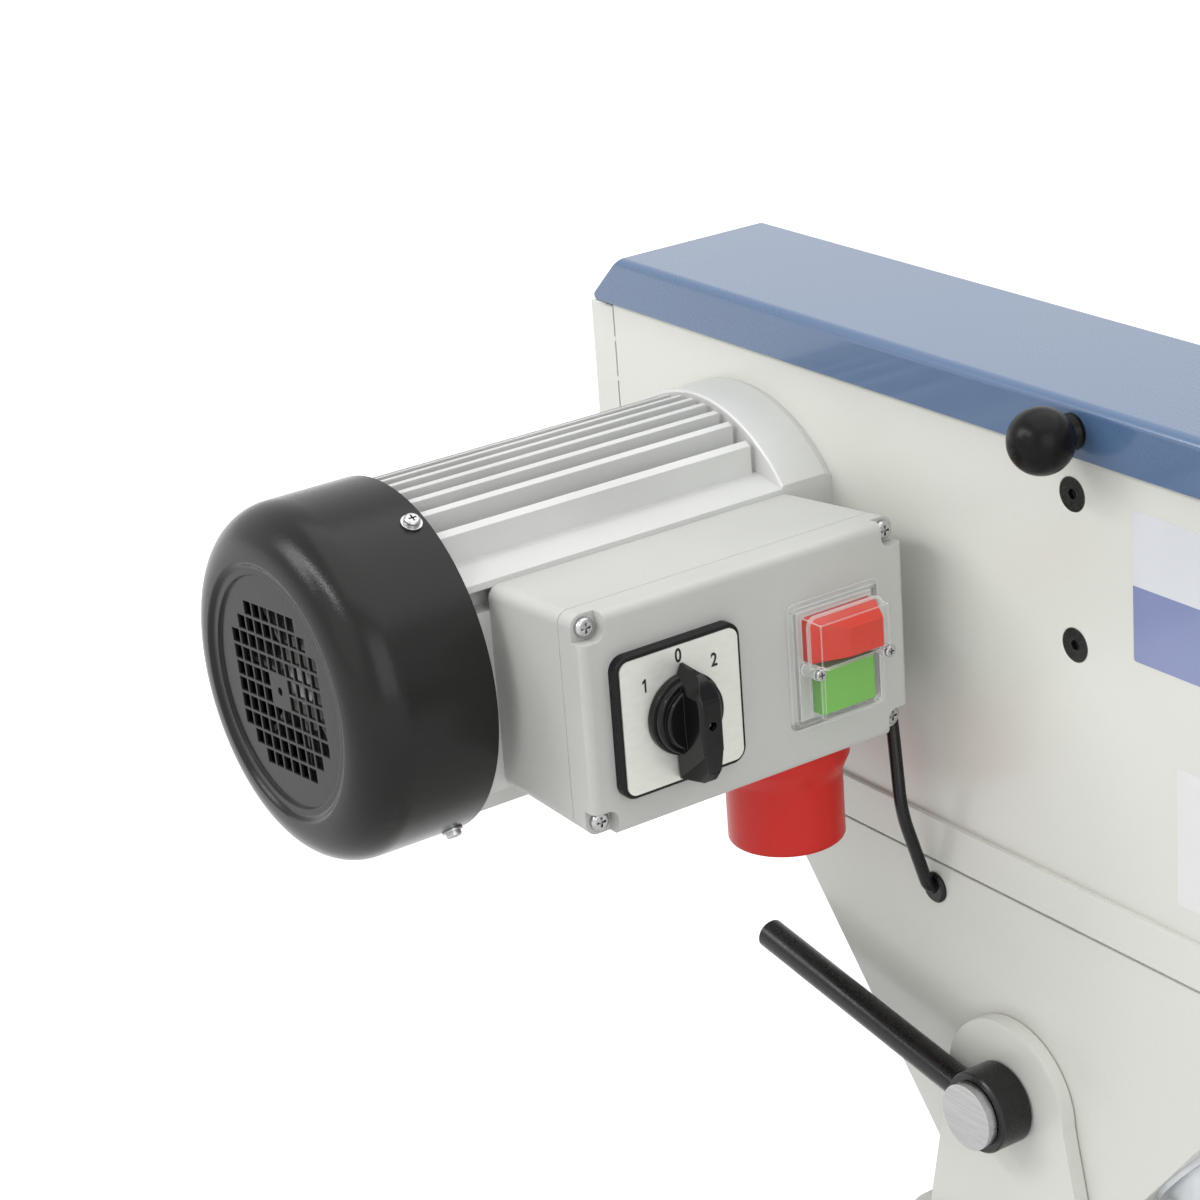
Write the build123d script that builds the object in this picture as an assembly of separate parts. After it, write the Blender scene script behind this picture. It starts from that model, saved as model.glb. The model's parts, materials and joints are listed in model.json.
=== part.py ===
from build123d import *
import math
import os

# Floor-standing belt grinder. Millimetres, X towards the contact wheel, Y away from the motor, Z up.
# The origin is on the floor in the middle of the four anchor holes.

# Belt and wheels
axis_height = 900
motor_x = -195
belt_length = 2000
belt_width = 75
belt_thickness = 1.4
running_gap = 0.3
wheel_radius = 98
wheel_width = 76
tyre_seat = 88
belt_inner = wheel_radius + running_gap
belt_outer = belt_inner + belt_thickness
wheel_pitch = belt_length / 2 - math.pi * (belt_inner + belt_thickness / 2)
contact_x = motor_x + wheel_pitch
turn_gap = 0.05
fit_gap = 0.1

# Head shell
head_width = 91
wall = 4
sheet = 2
proud = 2.5
lid_proud = 4
near = -head_width / 2
far = head_width / 2
wall_in = near + wall
rear_x = motor_x - 136
seam_x = motor_x - 113.9
wall_top = axis_height + 111.3
floor_top = axis_height - 129
tray_bottom = floor_top - proud
ledge_z = axis_height - 108.8
rail_top = axis_height + 105
rail_bottom = axis_height + 88
door_gap = 0.6
panel_top = axis_height + 101.6
panel_gap = 1
door_bead = 420
nose_radius = 78

# Lid
lid_top = axis_height + 131
lid_edge = axis_height + 105.2
lid_bend = 4.6
lid_rear = motor_x - 128.9
lid_slope_x = motor_x - 101.5
lid_reach = 520
lid_front = motor_x + lid_reach
lid_knob_x, lid_knob_z = 247.1, 117.5
hinge_barrel = 3.5
hinge_pin = 1.6
hinge_length = 46
hinge_first, hinge_second, hinge_third = -40, 230, 440

# Tilting stand
pivot_z = axis_height - 240.4
pin_radius = 12.5
bracket_half = 47
bracket_top = tray_bottom - 2
bracket_reach = 192.8
bracket_round = 80.5
cheek = 8
cheek_gap = 0.5
cheek_radius = 42
cap_top = pivot_z - 92
cap_thickness = 10
column_top = cap_top - cap_thickness
column_sheet = 3
base_length, base_width, base_thickness = 520, 420, 12
base_corner = 30
spout_radius, spout_bore = 40, 38
spout_length, spout_run = 48, 62
anchor_edge, anchor_radius = 30, 6.5
anchor_x = base_length - 2 * anchor_edge
anchor_y = base_width - 2 * anchor_edge

# Motor, measured outwards from the near wall
shield_depth = 30.6
shield_radius = 86.4
frame_end = 219
fin_tip = 84.5
fin_stop = 2.5
fin_places = (0, 10, 20.3, 31.2, 45)
bore_radius = 42
rotor_radius = 41
shaft_radius = 12
tail_radius = 10
cowl_radius = 88.2
cowl_back = 214.6
cowl_front = 283
cowl_skin = 1.6
cowl_face = 63.5
grille_pitch = 8.3
grille_hole = 6.8
grille_turn = 5
bolt_circle = 65
bolt_radius = 4

# Switch box, X from the motor axis, Y from the near wall
box_back, box_seam, box_front = 67.6, 129, 148
box_skin = 4
dial_y, dial_z = -157.4, 0.6
knob_rise, knob_half = 22.5, 6
button_y, button_z = -66, 0
inlet_x, inlet_y = 98, -62
inlet_radius = 29
inlet_flare = 33
inlet_rim = axis_height - 111.2
box_floor = axis_height - 51.4

# Inside the head
platen_top = axis_height + wheel_radius
platen_thickness = 6
bracket_places = (241.3, 500)
screw_heights = (85.4, 12.7)
slide_skin = 8
slide_half = 34
slide_gap = 0.3
spring_y = near - 15.5
pieces = {}


def along_y(x, y, z):
    return Plane(origin=(x, y, z), x_dir=(1, 0, 0), z_dir=(0, -1, 0))


def along_x(x, y=0, z=0):
    return Plane(origin=(x, y, z), x_dir=(0, 1, 0), z_dir=(1, 0, 0))


def face(points):
    return make_face(Polyline(*points, close=True))


def slab(points, y0, y1):
    return extrude(along_y(0, y1, 0) * face(points), y1 - y0)


def rod_y(radius, y0, y1, x, z):
    return extrude(along_y(x, y1, z) * Circle(radius), y1 - y0)


def rod_x(radius, x0, x1, y, z):
    return extrude(along_x(x0, y, z) * Circle(radius), x1 - x0)


def rod_z(radius, z0, z1, x, y):
    return extrude(Pos(x, y, z0) * Circle(radius), z1 - z0)


def hex_y(across, y0, y1, x, z):
    return extrude(along_y(x, y1, z) * RegularPolygon(across / math.sqrt(3), 6), y1 - y0)


def block(x0, x1, y0, y1, z0, z1):
    return Pos((x0 + x1) / 2, (y0 + y1) / 2, (z0 + z1) / 2) * Box(x1 - x0, y1 - y0, z1 - z0)


def lathe_y(points, x, z, rounds=()):
    profile = face(points)
    for corner, radius in rounds:
        profile = fillet(profile.vertices().sort_by_distance((*corner, 0))[0], radius)
    return revolve(Pos(x, 0, z) * profile, Axis((x, 0, z), (0, 1, 0)))


def ring_y(outer, inner, y0, y1, x, z):
    return rod_y(outer, y0, y1, x, z) - rod_y(inner, y0 - 1, y1 + 1, x, z)


def out(depth):
    return near - depth


def add(name, shape):
    pieces[name] = shape


# Stand: base plate with ribs, hollow tapered column, fork and pivot pin
def column_half(z, top, bottom):
    share = (z - base_thickness) / (column_top - base_thickness)
    return bottom + (top - bottom) * share


column_x = (75, 112)
column_y = (66, 92)


def base_plate():
    plate = RectangleRounded(base_length, base_width, base_corner)
    plate -= GridLocations(anchor_x, anchor_y, 2, 2) * Circle(anchor_radius)
    body = extrude(plate, base_thickness)
    rim = body.faces().sort_by(Axis.Z)[-1].outer_wire().edges()
    body = chamfer(rim, 2)
    rib_top = base_thickness + 90
    for side in (-1, 1):
        foot = column_half(base_thickness, *column_x) * side
        head = column_half(rib_top, *column_x) * side
        tip = (base_length / 2 - 45) * side
        body += slab([(foot, base_thickness), (tip, base_thickness), (tip, base_thickness + 12),
                      (head, rib_top)], -4, 4)
        foot = column_half(base_thickness, *column_y) * side
        head = column_half(rib_top, *column_y) * side
        tip = (base_width / 2 - 40) * side
        rib = face([(foot, base_thickness), (tip, base_thickness), (tip, base_thickness + 12),
                    (head, rib_top)])
        body += extrude(along_x(-4) * rib, 8)
    return body


def column():
    def section(z, inset):
        x = column_half(z, *column_x) - inset
        y = column_half(z, *column_y) - inset
        return Pos(0, 0, z) * RectangleRounded(2 * x, 2 * y, 18 - inset)

    outer = loft([section(base_thickness, 0), section(column_top, 0)], ruled=True)
    inner = loft([section(base_thickness, column_sheet), section(column_top, column_sheet)], ruled=True)
    return outer - inner


def fork_head():
    body = extrude(Pos(0, 0, column_top) * RectangleRounded(2 * column_x[0], 2 * column_y[0], 18),
                   cap_thickness)
    inside = bracket_half + cheek_gap
    for side in (-1, 1):
        y0, y1 = sorted((side * inside, side * (inside + cheek)))
        lower = [(-62, cap_top), (62, cap_top), (cheek_radius, pivot_z), (-cheek_radius, pivot_z)]
        plate = slab(lower, y0, y1) + rod_y(cheek_radius, y0, y1, 0, pivot_z)
        body += plate - rod_y(pin_radius, y0 - 1, y1 + 1, 0, pivot_z)
    return body


hub_start = -(bracket_half + cheek_gap + cheek) - 0.5
hub_end = hub_start - 19
lever_y = near - 20


def pivot_pin():
    head_y = bracket_half + cheek_gap + cheek
    body = rod_y(pin_radius, hub_end - 2, head_y, 0, pivot_z)
    body += hex_y(36, head_y, head_y + 11, 0, pivot_z)
    body += rod_y(17, hub_end - 6, hub_end - 0.5, 0, pivot_z)
    return body


def clamp_lever():
    tip_x, tip_z = motor_x + 20.3, axis_height - 211.6
    run = math.hypot(tip_x, tip_z - pivot_z)
    slope = math.degrees(math.atan2(tip_z - pivot_z, tip_x))
    hub = rod_y(21, hub_end, hub_start, 0, pivot_z)
    hub = chamfer(hub.edges().filter_by(GeomType.CIRCLE), 1)
    hub -= rod_y(pin_radius + turn_gap, hub_end - 1, hub_start + 1, 0, pivot_z)
    bar = Pos(0, 0, 16) * Cylinder(8, run - 16, align=(Align.CENTER, Align.CENTER, Align.MIN))
    bar = chamfer(bar.edges().sort_by(Axis.Z)[-1], 1.2)
    return hub + Pos(0, lever_y, pivot_z) * Rot(0, 90 - slope, 0) * bar


# Tilting bracket: a closed funnel under the head, tangent to a round bottom
def funnel_outline(inset):
    corner = (-bracket_reach, bracket_top)
    radius = bracket_round - inset
    x, z = touch_point(corner, (0, pivot_z), bracket_round, 1)
    turn = math.atan2(z - pivot_z, x)
    touch = (radius * math.cos(turn), pivot_z + radius * math.sin(turn))
    edge = (corner[0] - inset * math.cos(turn), corner[1] - inset * math.sin(turn))
    slope = (touch[0] - edge[0]) / (touch[1] - edge[1])
    left = (edge[0] + (bracket_top - edge[1]) * slope, bracket_top)
    path = Polyline(left, touch) + ThreePointArc(touch, (0, pivot_z - radius), (-touch[0], touch[1]))
    path += Polyline((-touch[0], touch[1]), (-left[0], bracket_top), left)
    return make_face(path), turn


def tilt_bracket():
    outline, _ = funnel_outline(0)
    inner, _ = funnel_outline(3)
    body = extrude(along_y(0, bracket_half, 0) * outline, 2 * bracket_half)
    room = extrude(along_y(0, bracket_half - 3, 0) * inner, 2 * bracket_half - 6)
    body -= room - block(-400, 400, -80, 80, bracket_top - 3, bracket_top)
    body -= block(-140, 140, -30, 30, bracket_top - 4, bracket_top + 1)
    pad = block(-165, 165, -42, 42, bracket_top, tray_bottom)
    body += pad - block(-140, 140, -30, 30, bracket_top - 1, tray_bottom + 1)
    body += ring_y(24, pin_radius + turn_gap, -bracket_half, bracket_half, 0, pivot_z)
    body -= rod_y(pin_radius + turn_gap, -60, 60, 0, pivot_z)
    body -= rod_y(grommet_neck + fit_gap, -60, -30, cable_exit[0], cable_exit[2])
    for x in (-152, 152):
        for y in (-32, 32):
            body -= rod_z(bolt_radius + fit_gap, bracket_top - 8, tray_bottom + 1, x, y)
    return body - spout_place() * Cylinder(spout_bore, 30)


def spout_place():
    _, left = funnel_outline(0)
    turn = math.pi - left
    x = bracket_round * math.cos(turn) - spout_run * math.sin(turn)
    z = pivot_z + bracket_round * math.sin(turn) + spout_run * math.cos(turn)
    return Plane(origin=(x, 0, z), x_dir=(0, 1, 0), z_dir=(math.cos(turn), 0, math.sin(turn)))


def dust_spout():
    flange = Cylinder(spout_radius + 5, 3, align=(Align.CENTER, Align.CENTER, Align.MIN))
    tube = Cylinder(spout_radius, spout_length, align=(Align.CENTER, Align.CENTER, Align.MIN))
    return spout_place() * (flange + tube - Cylinder(spout_bore, 3 * spout_length))


# Head shell
def base_tray():
    end = contact_x
    side = far + proud
    body = block(rear_x, end, -side, side, tray_bottom, ledge_z)
    body -= block(rear_x - 1, end + 1, near, far, floor_top, ledge_z + 1)
    body -= block(-130, 130, -28, 28, tray_bottom - 1, floor_top + 1)
    for x in (-152, 152):
        for y in (-32, 32):
            body -= rod_z(bolt_radius + fit_gap, tray_bottom - 1, floor_top + 1, x, y)
    scoop_out = axis_height - tray_bottom
    scoop_in = axis_height - floor_top
    ring = along_y(contact_x, far, axis_height) * (Circle(scoop_out) - Circle(scoop_in))
    window = [(contact_x, axis_height), (contact_x, axis_height - 200),
              (contact_x + 200, axis_height - 200), (contact_x + 200, axis_height - 115)]
    return body + (extrude(ring, head_width) & slab(window, near, far))


def touch_point(corner, centre, radius, side):
    dx, dz = corner[0] - centre[0], corner[1] - centre[1]
    turn = math.atan2(dz, dx) + side * math.acos(radius / math.hypot(dx, dz))
    return (centre[0] + radius * math.cos(turn), centre[1] + radius * math.sin(turn))


# Side wall outline: straight rear end and a round nose about the contact wheel, tangent to both edges
def side_outline(rear, low, high, low_x, high_x, radius):
    middle = (contact_x, axis_height)
    under = touch_point((low_x, low), middle, radius, 1)
    over = touch_point((high_x, high), middle, radius, -1)
    path = Polyline(over, (high_x, high), (rear, high), (rear, low), (low_x, low), under)
    return make_face(path + ThreePointArc(under, (contact_x + radius, axis_height), over))


def motor_wall():
    outline = side_outline(seam_x, floor_top, wall_top, contact_x - 5, contact_x - 40, nose_radius)
    body = extrude(along_y(0, wall_in, 0) * outline, wall)
    body -= rod_y(30, near - 1, wall_in + 1, motor_x, axis_height)
    for x, z in motor_bolt_places():
        body -= rod_y(bolt_radius + fit_gap, near - 1, wall_in + 1, x, z)
    slot = along_y(contact_x - 10, wall_in + 1, axis_height) * SlotCenterToCenter(24, 36)
    body -= extrude(slot, wall + 2)
    for place in bracket_places:
        for height in screw_heights:
            sink = [(0, near - 1), (8.6, near - 1), (8.6, near), (4.2, near + 4.2), (0, near + 4.2)]
            body -= lathe_y(sink, motor_x + place, axis_height + height)
    return body


def motor_bolt_places():
    turns = [math.radians(45 + 90 * n) for n in range(4)]
    return [(motor_x + bolt_circle * math.cos(a), axis_height + bolt_circle * math.sin(a)) for a in turns]


def rear_panel():
    body = block(rear_x, seam_x - panel_gap, near, far, floor_top, panel_top)
    body -= block(rear_x + sheet, seam_x, near + sheet, far - sheet, floor_top - 1, panel_top + 1)
    body = fillet(body.edges().filter_by(Axis.Z).group_by(Axis.X)[0], 1.6)
    for height in (62, 84):
        low = axis_height + height
        body += block(seam_x - panel_gap - 1, seam_x, near, near + sheet, low - 1.5, low + 1.5)
    return body


def top_rail():
    body = block(seam_x + 0.4, contact_x - 60, far - 4, far, rail_bottom, rail_top)
    return body + block(rear_x + sheet, seam_x + 0.4, far - 4, far - sheet, rail_bottom, axis_height + 100)


# A barrel hinge on a local Z pin: the fixed half holds the pin, the swinging half turns on it
def hinge(swinging, back):
    half = hinge_length / 2
    side = 1 if swinging else -1
    z0, z1 = (half + 0.2, hinge_length) if swinging else (0, half)
    leaf_face = back + 2 if swinging else back + 4
    body = block(*sorted((side * 1.5, side * 15)), back, max(leaf_face, -hinge_barrel + 1), z0, z1)
    barrel = Cylinder(hinge_barrel, z1 - z0, align=(Align.CENTER, Align.CENTER, Align.MIN))
    body += Pos(0, 0, z0) * barrel
    pin = Cylinder(hinge_pin, hinge_length, align=(Align.CENTER, Align.CENTER, Align.MIN))
    if swinging:
        return body - Pos(0, 0, -1) * Cylinder(hinge_pin + turn_gap, hinge_length + 2,
                                                align=(Align.CENTER, Align.CENTER, Align.MIN))
    return body + pin


door_hinge_y = far + hinge_barrel
door_hinge_x = seam_x
door_hinge_z = (-85, 40)
lid_hinge_y = far + lid_proud + hinge_barrel
lid_hinge_z = axis_height + 104.2
lid_hinge_x = [motor_x + place for place in (hinge_first, hinge_second, hinge_third)]


def door_hinge_frames():
    return [Plane(origin=(door_hinge_x, door_hinge_y, axis_height + z), x_dir=(1, 0, 0), z_dir=(0, 0, 1))
            for z in door_hinge_z]


def lid_hinge_frames():
    return [Plane(origin=(x, lid_hinge_y, lid_hinge_z), x_dir=(0, 0, 1), z_dir=(-1, 0, 0))
            for x in lid_hinge_x]


def hinge_leaves():
    leaves = [place * hinge(False, -hinge_barrel) for place in door_hinge_frames()]
    leaves += [place * hinge(False, -hinge_barrel - lid_proud) for place in lid_hinge_frames()]
    return Compound(children=leaves)


def far_door():
    low = ledge_z + door_gap
    high = rail_bottom - door_gap
    outline = side_outline(seam_x + 0.4, low, high, contact_x - 5, contact_x + 20, nose_radius - 2)
    body = extrude(along_y(0, far, 0) * outline, sheet)
    for height in (-60, 40):
        bead = along_y((motor_x + contact_x) / 2 - 20, far + 2, axis_height + height)
        rib = extrude(bead * SlotOverall(door_bead, 14), 2)
        body += chamfer(rib.faces().sort_by(Axis.Y)[-1].edges(), 1.4)
    for place in door_hinge_frames():
        body += place * hinge(True, -hinge_barrel)
    return body - rod_y(5.2, far - 9, far + 9, latch_x, latch_z)


latch_x, latch_z = motor_x + 560, axis_height + 74


def door_latch():
    body = rod_y(5, far - 6, far + 8, latch_x, latch_z)
    body += rod_y(9, far + fit_gap, far + 4, latch_x, latch_z)
    tongue = block(latch_x - 6, latch_x + 22, far - 7, far - 4 - running_gap, latch_z - 6, latch_z + 6)
    grip = RectangleRounded(46, 12, 5.5)
    body += extrude(along_y(latch_x, far + 22, latch_z) * grip, 16)
    return body + tongue


def lid_form(inset, below, ahead):
    side = far + lid_proud - inset
    lean = (lid_slope_x - lid_rear) / (lid_top - lid_edge)
    shift = inset * math.hypot(1, lean)
    rear = lid_rear + shift - lean * below
    top_rear = lid_slope_x + shift - lean * inset
    flank = face([(rear, lid_edge - below), (lid_front + ahead, lid_edge - below),
                  (lid_front + ahead, lid_top - inset), (top_rear, lid_top - inset)])
    if not below:
        flank = fillet(flank.vertices().sort_by(Axis.X)[0], 2.3)
    body = extrude(along_y(0, side, 0) * flank, 2 * side)
    bends = body.edges().filter_by(Axis.X).group_by(Axis.Z)[-1]
    return fillet(bends, lid_bend - inset)


def lid():
    body = lid_form(0, 0, 0) - lid_form(sheet, 5, 5)
    for place in lid_hinge_frames():
        body += place * hinge(True, -hinge_barrel)
    return body


def lid_knob():
    x, z = motor_x + lid_knob_x, axis_height + lid_knob_z
    seat = near - lid_proud
    neck = lathe_y([(0, seat), (8.5, seat), (8.5, seat - 2), (6.4, seat - 6), (6.4, seat - 12),
                    (0, seat - 12)], x, z)
    return neck + Pos(x, seat - 18.5, z) * Sphere(15.4)


def wheel_hood():
    side = far + proud
    start = lid_front + 1
    arc = lid_top - axis_height
    outline = face([(start, lid_edge - 20), (contact_x - 20, lid_edge - 20), (contact_x - 20, lid_top),
                    (start, lid_top)])
    inside = face([(start - 1, lid_edge - 40), (contact_x + 1, lid_edge - 40),
                   (contact_x + 1, lid_top - sheet), (start - 1, lid_top - sheet)])
    body = extrude(along_y(0, side, 0) * outline, 2 * side)
    band = Circle(arc) - Circle(104)
    window = face([(-21, 0), (-21, 160), (120, 160), (150, 92)])
    body += extrude(along_y(contact_x, side, axis_height) * (band & window), 2 * side)
    hollow = extrude(along_y(0, side - proud, 0) * inside, 2 * side - 2 * proud)
    hollow += rod_y(arc - sheet, near, far, contact_x, axis_height)
    body -= hollow
    body -= block(start - 1, contact_x + 90, far, side + 1, axis_height, rail_top - 11)
    for y in (-32, 32):
        tab = Pos(arc + 3.5, 0) * Rectangle(9, 16) + Pos(arc + shield_lift, 0) * Circle(8)
        place = along_y(contact_x, y + 3, axis_height)
        body += extrude(place * (Rot(0, 0, math.degrees(shield_turn)) * tab), 6)
        body -= rod_y(3 + turn_gap, y - 5, y + 5, shield_x, shield_z)
    return body


shield_turn = math.radians(52)
shield_lift = 8
shield_x = contact_x + (lid_top - axis_height + shield_lift) * math.cos(shield_turn)
shield_z = axis_height + (lid_top - axis_height + shield_lift) * math.sin(shield_turn)


def eye_shield():
    pins = rod_y(3, -40, 40, shield_x, shield_z)
    sleeve = rod_y(6.5, -28.5, 28.5, shield_x, shield_z)
    plane = Plane(origin=(shield_x, 0, shield_z), x_dir=(0, 1, 0),
                  z_dir=(math.sin(math.radians(42)), 0, math.cos(math.radians(42))))
    pane = plane * (Pos(0, 52, 0) * extrude(RectangleRounded(110, 78, 8), 4))
    arm = plane * (Pos(0, 12, 2) * Box(40, 24, 4))
    heads = rod_y(6, -43, -40, shield_x, shield_z) + rod_y(6, 40, 43, shield_x, shield_z)
    return pins + sleeve + arm + pane + heads


# Platen that backs the upper belt run, carried from the motor side
def platen():
    body = block(motor_x + 115, motor_x + 575, -38, 38, platen_top - platen_thickness, platen_top)
    return fillet(body.edges().filter_by(Axis.Y).group_by(Axis.Z)[-1], 4)


def platen_brackets():
    under = platen_top - platen_thickness
    made = []
    for place in bracket_places:
        x = motor_x + place
        profile = face([(wall_in, axis_height - 4), (wall_in + 7, axis_height - 4),
                        (wall_in + 7, under - 30), (wall_in + 30, under - 7), (34, under - 7),
                        (34, under), (wall_in, under)])
        body = extrude(along_x(x - 19) * profile, 38)
        for height in screw_heights:
            body -= rod_y(4 + fit_gap, wall_in - 1, wall_in + 15, x, axis_height + height)
        made.append(body)
    return Compound(children=made)


def platen_screws():
    made = []
    for place in bracket_places:
        for height in screw_heights:
            x, z = motor_x + place, axis_height + height
            body = lathe_y([(0, near + 0.1), (8.3, near + 0.1), (4, near + 3.9), (4, near + 17),
                            (0, near + 17)], x, z)
            made.append(body - hex_y(5, near - 1, near + 3, x, z))
    return Compound(children=made)


def sanding_belt():
    middle = along_y((motor_x + contact_x) / 2, belt_width / 2, axis_height)
    loop = SlotCenterToCenter(wheel_pitch, 2 * belt_outer) - SlotCenterToCenter(wheel_pitch, 2 * belt_inner)
    return extrude(middle * loop, belt_width)


# Drive wheel, shaft and fan turn together
def drive_wheel():
    half = wheel_width / 2
    edge = wheel_radius - 0.5
    rim = Polyline((86, -half), (edge, -half))
    rim += ThreePointArc((edge, -half), (wheel_radius, 0), (edge, half))
    rim += Polyline((edge, half), (86, half), (86, 7), (32, 7), (32, 10), (shaft_radius, 10),
                    (shaft_radius, -half), (32, -half), (32, -7), (86, -7), (86, -half))
    profile = make_face(rim)
    body = revolve(Pos(motor_x, 0, axis_height) * profile, Axis((motor_x, 0, axis_height), (0, 1, 0)))
    for turn in range(0, 360, 60):
        a = math.radians(turn + 30)
        body -= rod_y(15, -10, 10, motor_x + 59 * math.cos(a), axis_height + 59 * math.sin(a))
    return body


def wheel_bolt():
    body = rod_y(19, 10, 14, motor_x, axis_height)
    return body + hex_y(17, 14, 24, motor_x, axis_height)


def motor_shaft():
    return lathe_y([(0, 9.5), (shaft_radius, 9.5), (shaft_radius, out(36)), (rotor_radius, out(36)),
                    (rotor_radius, out(212)), (tail_radius, out(212)), (tail_radius, out(268)),
                    (0, out(268))], motor_x, axis_height)


def fan():
    body = ring_y(23, tail_radius, out(266), out(244), motor_x, axis_height)
    body += ring_y(70, 20, out(246.5), out(244), motor_x, axis_height)
    blade = block(motor_x + 20, motor_x + 74, out(268), out(245), axis_height - 1.25, axis_height + 1.25)
    axis = Axis((motor_x, 0, axis_height), (0, 1, 0))
    for turn in range(0, 360, 45):
        body += blade.rotate(axis, turn)
    return body


# Motor housing
def motor_flange():
    body = lathe_y([(26, out(0)), (85, out(0)), (shield_radius, out(4)), (shield_radius, out(shield_depth)),
                    (66, out(shield_depth)), (46, out(24)), (26, out(24))],
                   motor_x, axis_height, [((shield_radius, out(shield_depth)), 1.2)])
    for x, z in motor_bolt_places():
        body -= rod_y(bolt_radius + fit_gap, out(22), out(-1), x, z)
    flat = motor_x + box_back - fit_gap
    return body - block(flat, flat + 40, out(40), out(-1), axis_height - 90, axis_height + 90)


def motor_frame():
    tips = Circle(fin_tip)
    core = Circle(67.4)
    core += face([(0, -56), (51, -56), (67.6, -52.6), (67.6, 52.6), (51, 56), (0, 56)])
    core -= Pos(64, 43.5) * Rectangle(14, 11)
    fins = []
    for place in sorted({*fin_places, *(-p for p in fin_places)}):
        up = face([(place - 2.4, 30), (place + 2.4, 30), (place + 1.4, 90), (place - 1.4, 90)])
        fins += [up, Rot(0, 0, 180) * up, Rot(0, 0, 90) * up]
    body = extrude(along_y(motor_x, out(shield_depth), axis_height) * core, frame_end - shield_depth)
    place = along_y(motor_x, out(shield_depth + fin_stop), axis_height)
    for fin in fins:
        body += extrude(place * (fin & tips), frame_end - shield_depth - fin_stop)
    return body - rod_y(bore_radius, out(frame_end + 1), out(shield_depth - 1), motor_x, axis_height)


def motor_rear_shield():
    inside = cowl_radius - cowl_skin - 0.4
    return lathe_y([(23.5, out(frame_end)), (inside, out(frame_end)), (inside, out(frame_end + 9)),
                    (60, out(frame_end + 14)), (23.5, out(frame_end + 14))], motor_x, axis_height)


def motor_bearings():
    front = ring_y(26, shaft_radius + turn_gap, out(23), out(8), motor_x, axis_height)
    back = ring_y(23.5, tail_radius + turn_gap, out(232.5), out(220), motor_x, axis_height)
    return Compound(children=[front, back])


def fan_cowl():
    skin = cowl_skin
    disc = cowl_front - 3.5
    points = [(cowl_radius, out(cowl_back)), (cowl_radius, out(cowl_front)), (cowl_face, out(cowl_front)),
              (cowl_face - 2.5, out(cowl_front - 2)), (cowl_face - 6, out(cowl_front - 2)),
              (cowl_face - 7, out(disc)), (0, out(disc)), (0, out(disc - skin)),
              (cowl_radius - skin, out(disc - skin)), (cowl_radius - skin, out(cowl_back))]
    body = lathe_y(points, motor_x, axis_height,
                   [((cowl_radius, out(cowl_front)), 23.5), ((cowl_face, out(cowl_front)), 2),
                    ((cowl_face - 2.5, out(cowl_front - 2)), 2),
                    ((cowl_radius - skin, out(disc - skin)), 22)])
    cells = []
    for row in range(10):
        for column_number in range(10):
            u, v = column_number - 4.5, row - 4.5
            if max(abs(u), abs(v)) > 0.6 and math.hypot(u, v) < 5.2:
                cell = Pos(u * grille_pitch, v * grille_pitch) * Rectangle(grille_hole, grille_hole)
                cells.append(Rot(0, 0, grille_turn) * cell)
    cells.append(Circle(2))
    front = along_y(motor_x, out(disc - skin - 1), axis_height)
    body -= [extrude(front * cell, skin + 3) for cell in cells]
    for x, z, turn in cowl_screw_places(cowl_radius):
        body -= Pos(x, out(222.5), z) * Rot(0, turn, 0) * Cylinder(2.7, 20)
    return body


def cowl_screw_places(radius):
    made = []
    for angle in (63.5, 183.5, 303.5):
        a = math.radians(angle)
        made.append((motor_x + radius * math.cos(a), axis_height + radius * math.sin(a), 90 - angle))
    return made


def cowl_screws():
    made = []
    for x, z, turn in cowl_screw_places(cowl_radius):
        washer = Cylinder(5.2, 1.2, align=(Align.CENTER, Align.CENTER, Align.MIN))
        head = Pos(0, 0, 1.2) * Cylinder(3.9, 2.8, align=(Align.CENTER, Align.CENTER, Align.MIN))
        head = fillet(head.edges().sort_by(Axis.Z)[-1], 1.4)
        stem = Cylinder(2.5, cowl_skin + 0.2, align=(Align.CENTER, Align.CENTER, Align.MAX))
        cross = Pos(0, 0, 3.6) * (Box(4.2, 0.9, 2.4) + Box(0.9, 4.2, 2.4))
        made.append(Pos(x, out(222.5), z) * Rot(0, turn, 0) * (washer + head + stem - cross))
    return Compound(children=made)


def hex_bolts():
    made = []
    for x, z in motor_bolt_places():
        made.append(hex_y(13, wall_in, wall_in + 5.5, x, z) + rod_y(bolt_radius, out(20), wall_in, x, z))
    for x in (-152, 152):
        for y in (-32, 32):
            head = extrude(Pos(x, y, floor_top) * RegularPolygon(13 / math.sqrt(3), 6), 5.5)
            made.append(head + rod_z(bolt_radius, bracket_top - 6, floor_top, x, y))
    return Compound(children=made)


# Switch box: flared base and cover with notched corners
def box_section(x, inset):
    share = (x - box_back) / (box_front - box_back)
    half_width = 88.5 + 3.4 * share - inset
    low = -51.4 + inset
    high = 50 + 7 * share - inset
    middle = (near - 113.5, axis_height + (low + high) / 2)
    return along_x(motor_x + x, *middle), 2 * half_width, high - low


def box_solid(x0, x1, inset, corner):
    ends = []
    for x in (x0, x1):
        place, width, height = box_section(x, inset)
        ends.append(place * RectangleRounded(width, height, corner))
    return loft(ends, ruled=True)


def box_room(x0, x1):
    place, width, height = box_section(box_back, box_skin)
    cross = RectangleRounded(width, height - 30, 3) + RectangleRounded(width - 30, height, 3)
    spot = Plane(origin=(motor_x + x0, place.origin.Y, place.origin.Z), x_dir=(0, 1, 0), z_dir=(1, 0, 0))
    return extrude(spot * cross, x1 - x0)


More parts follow.
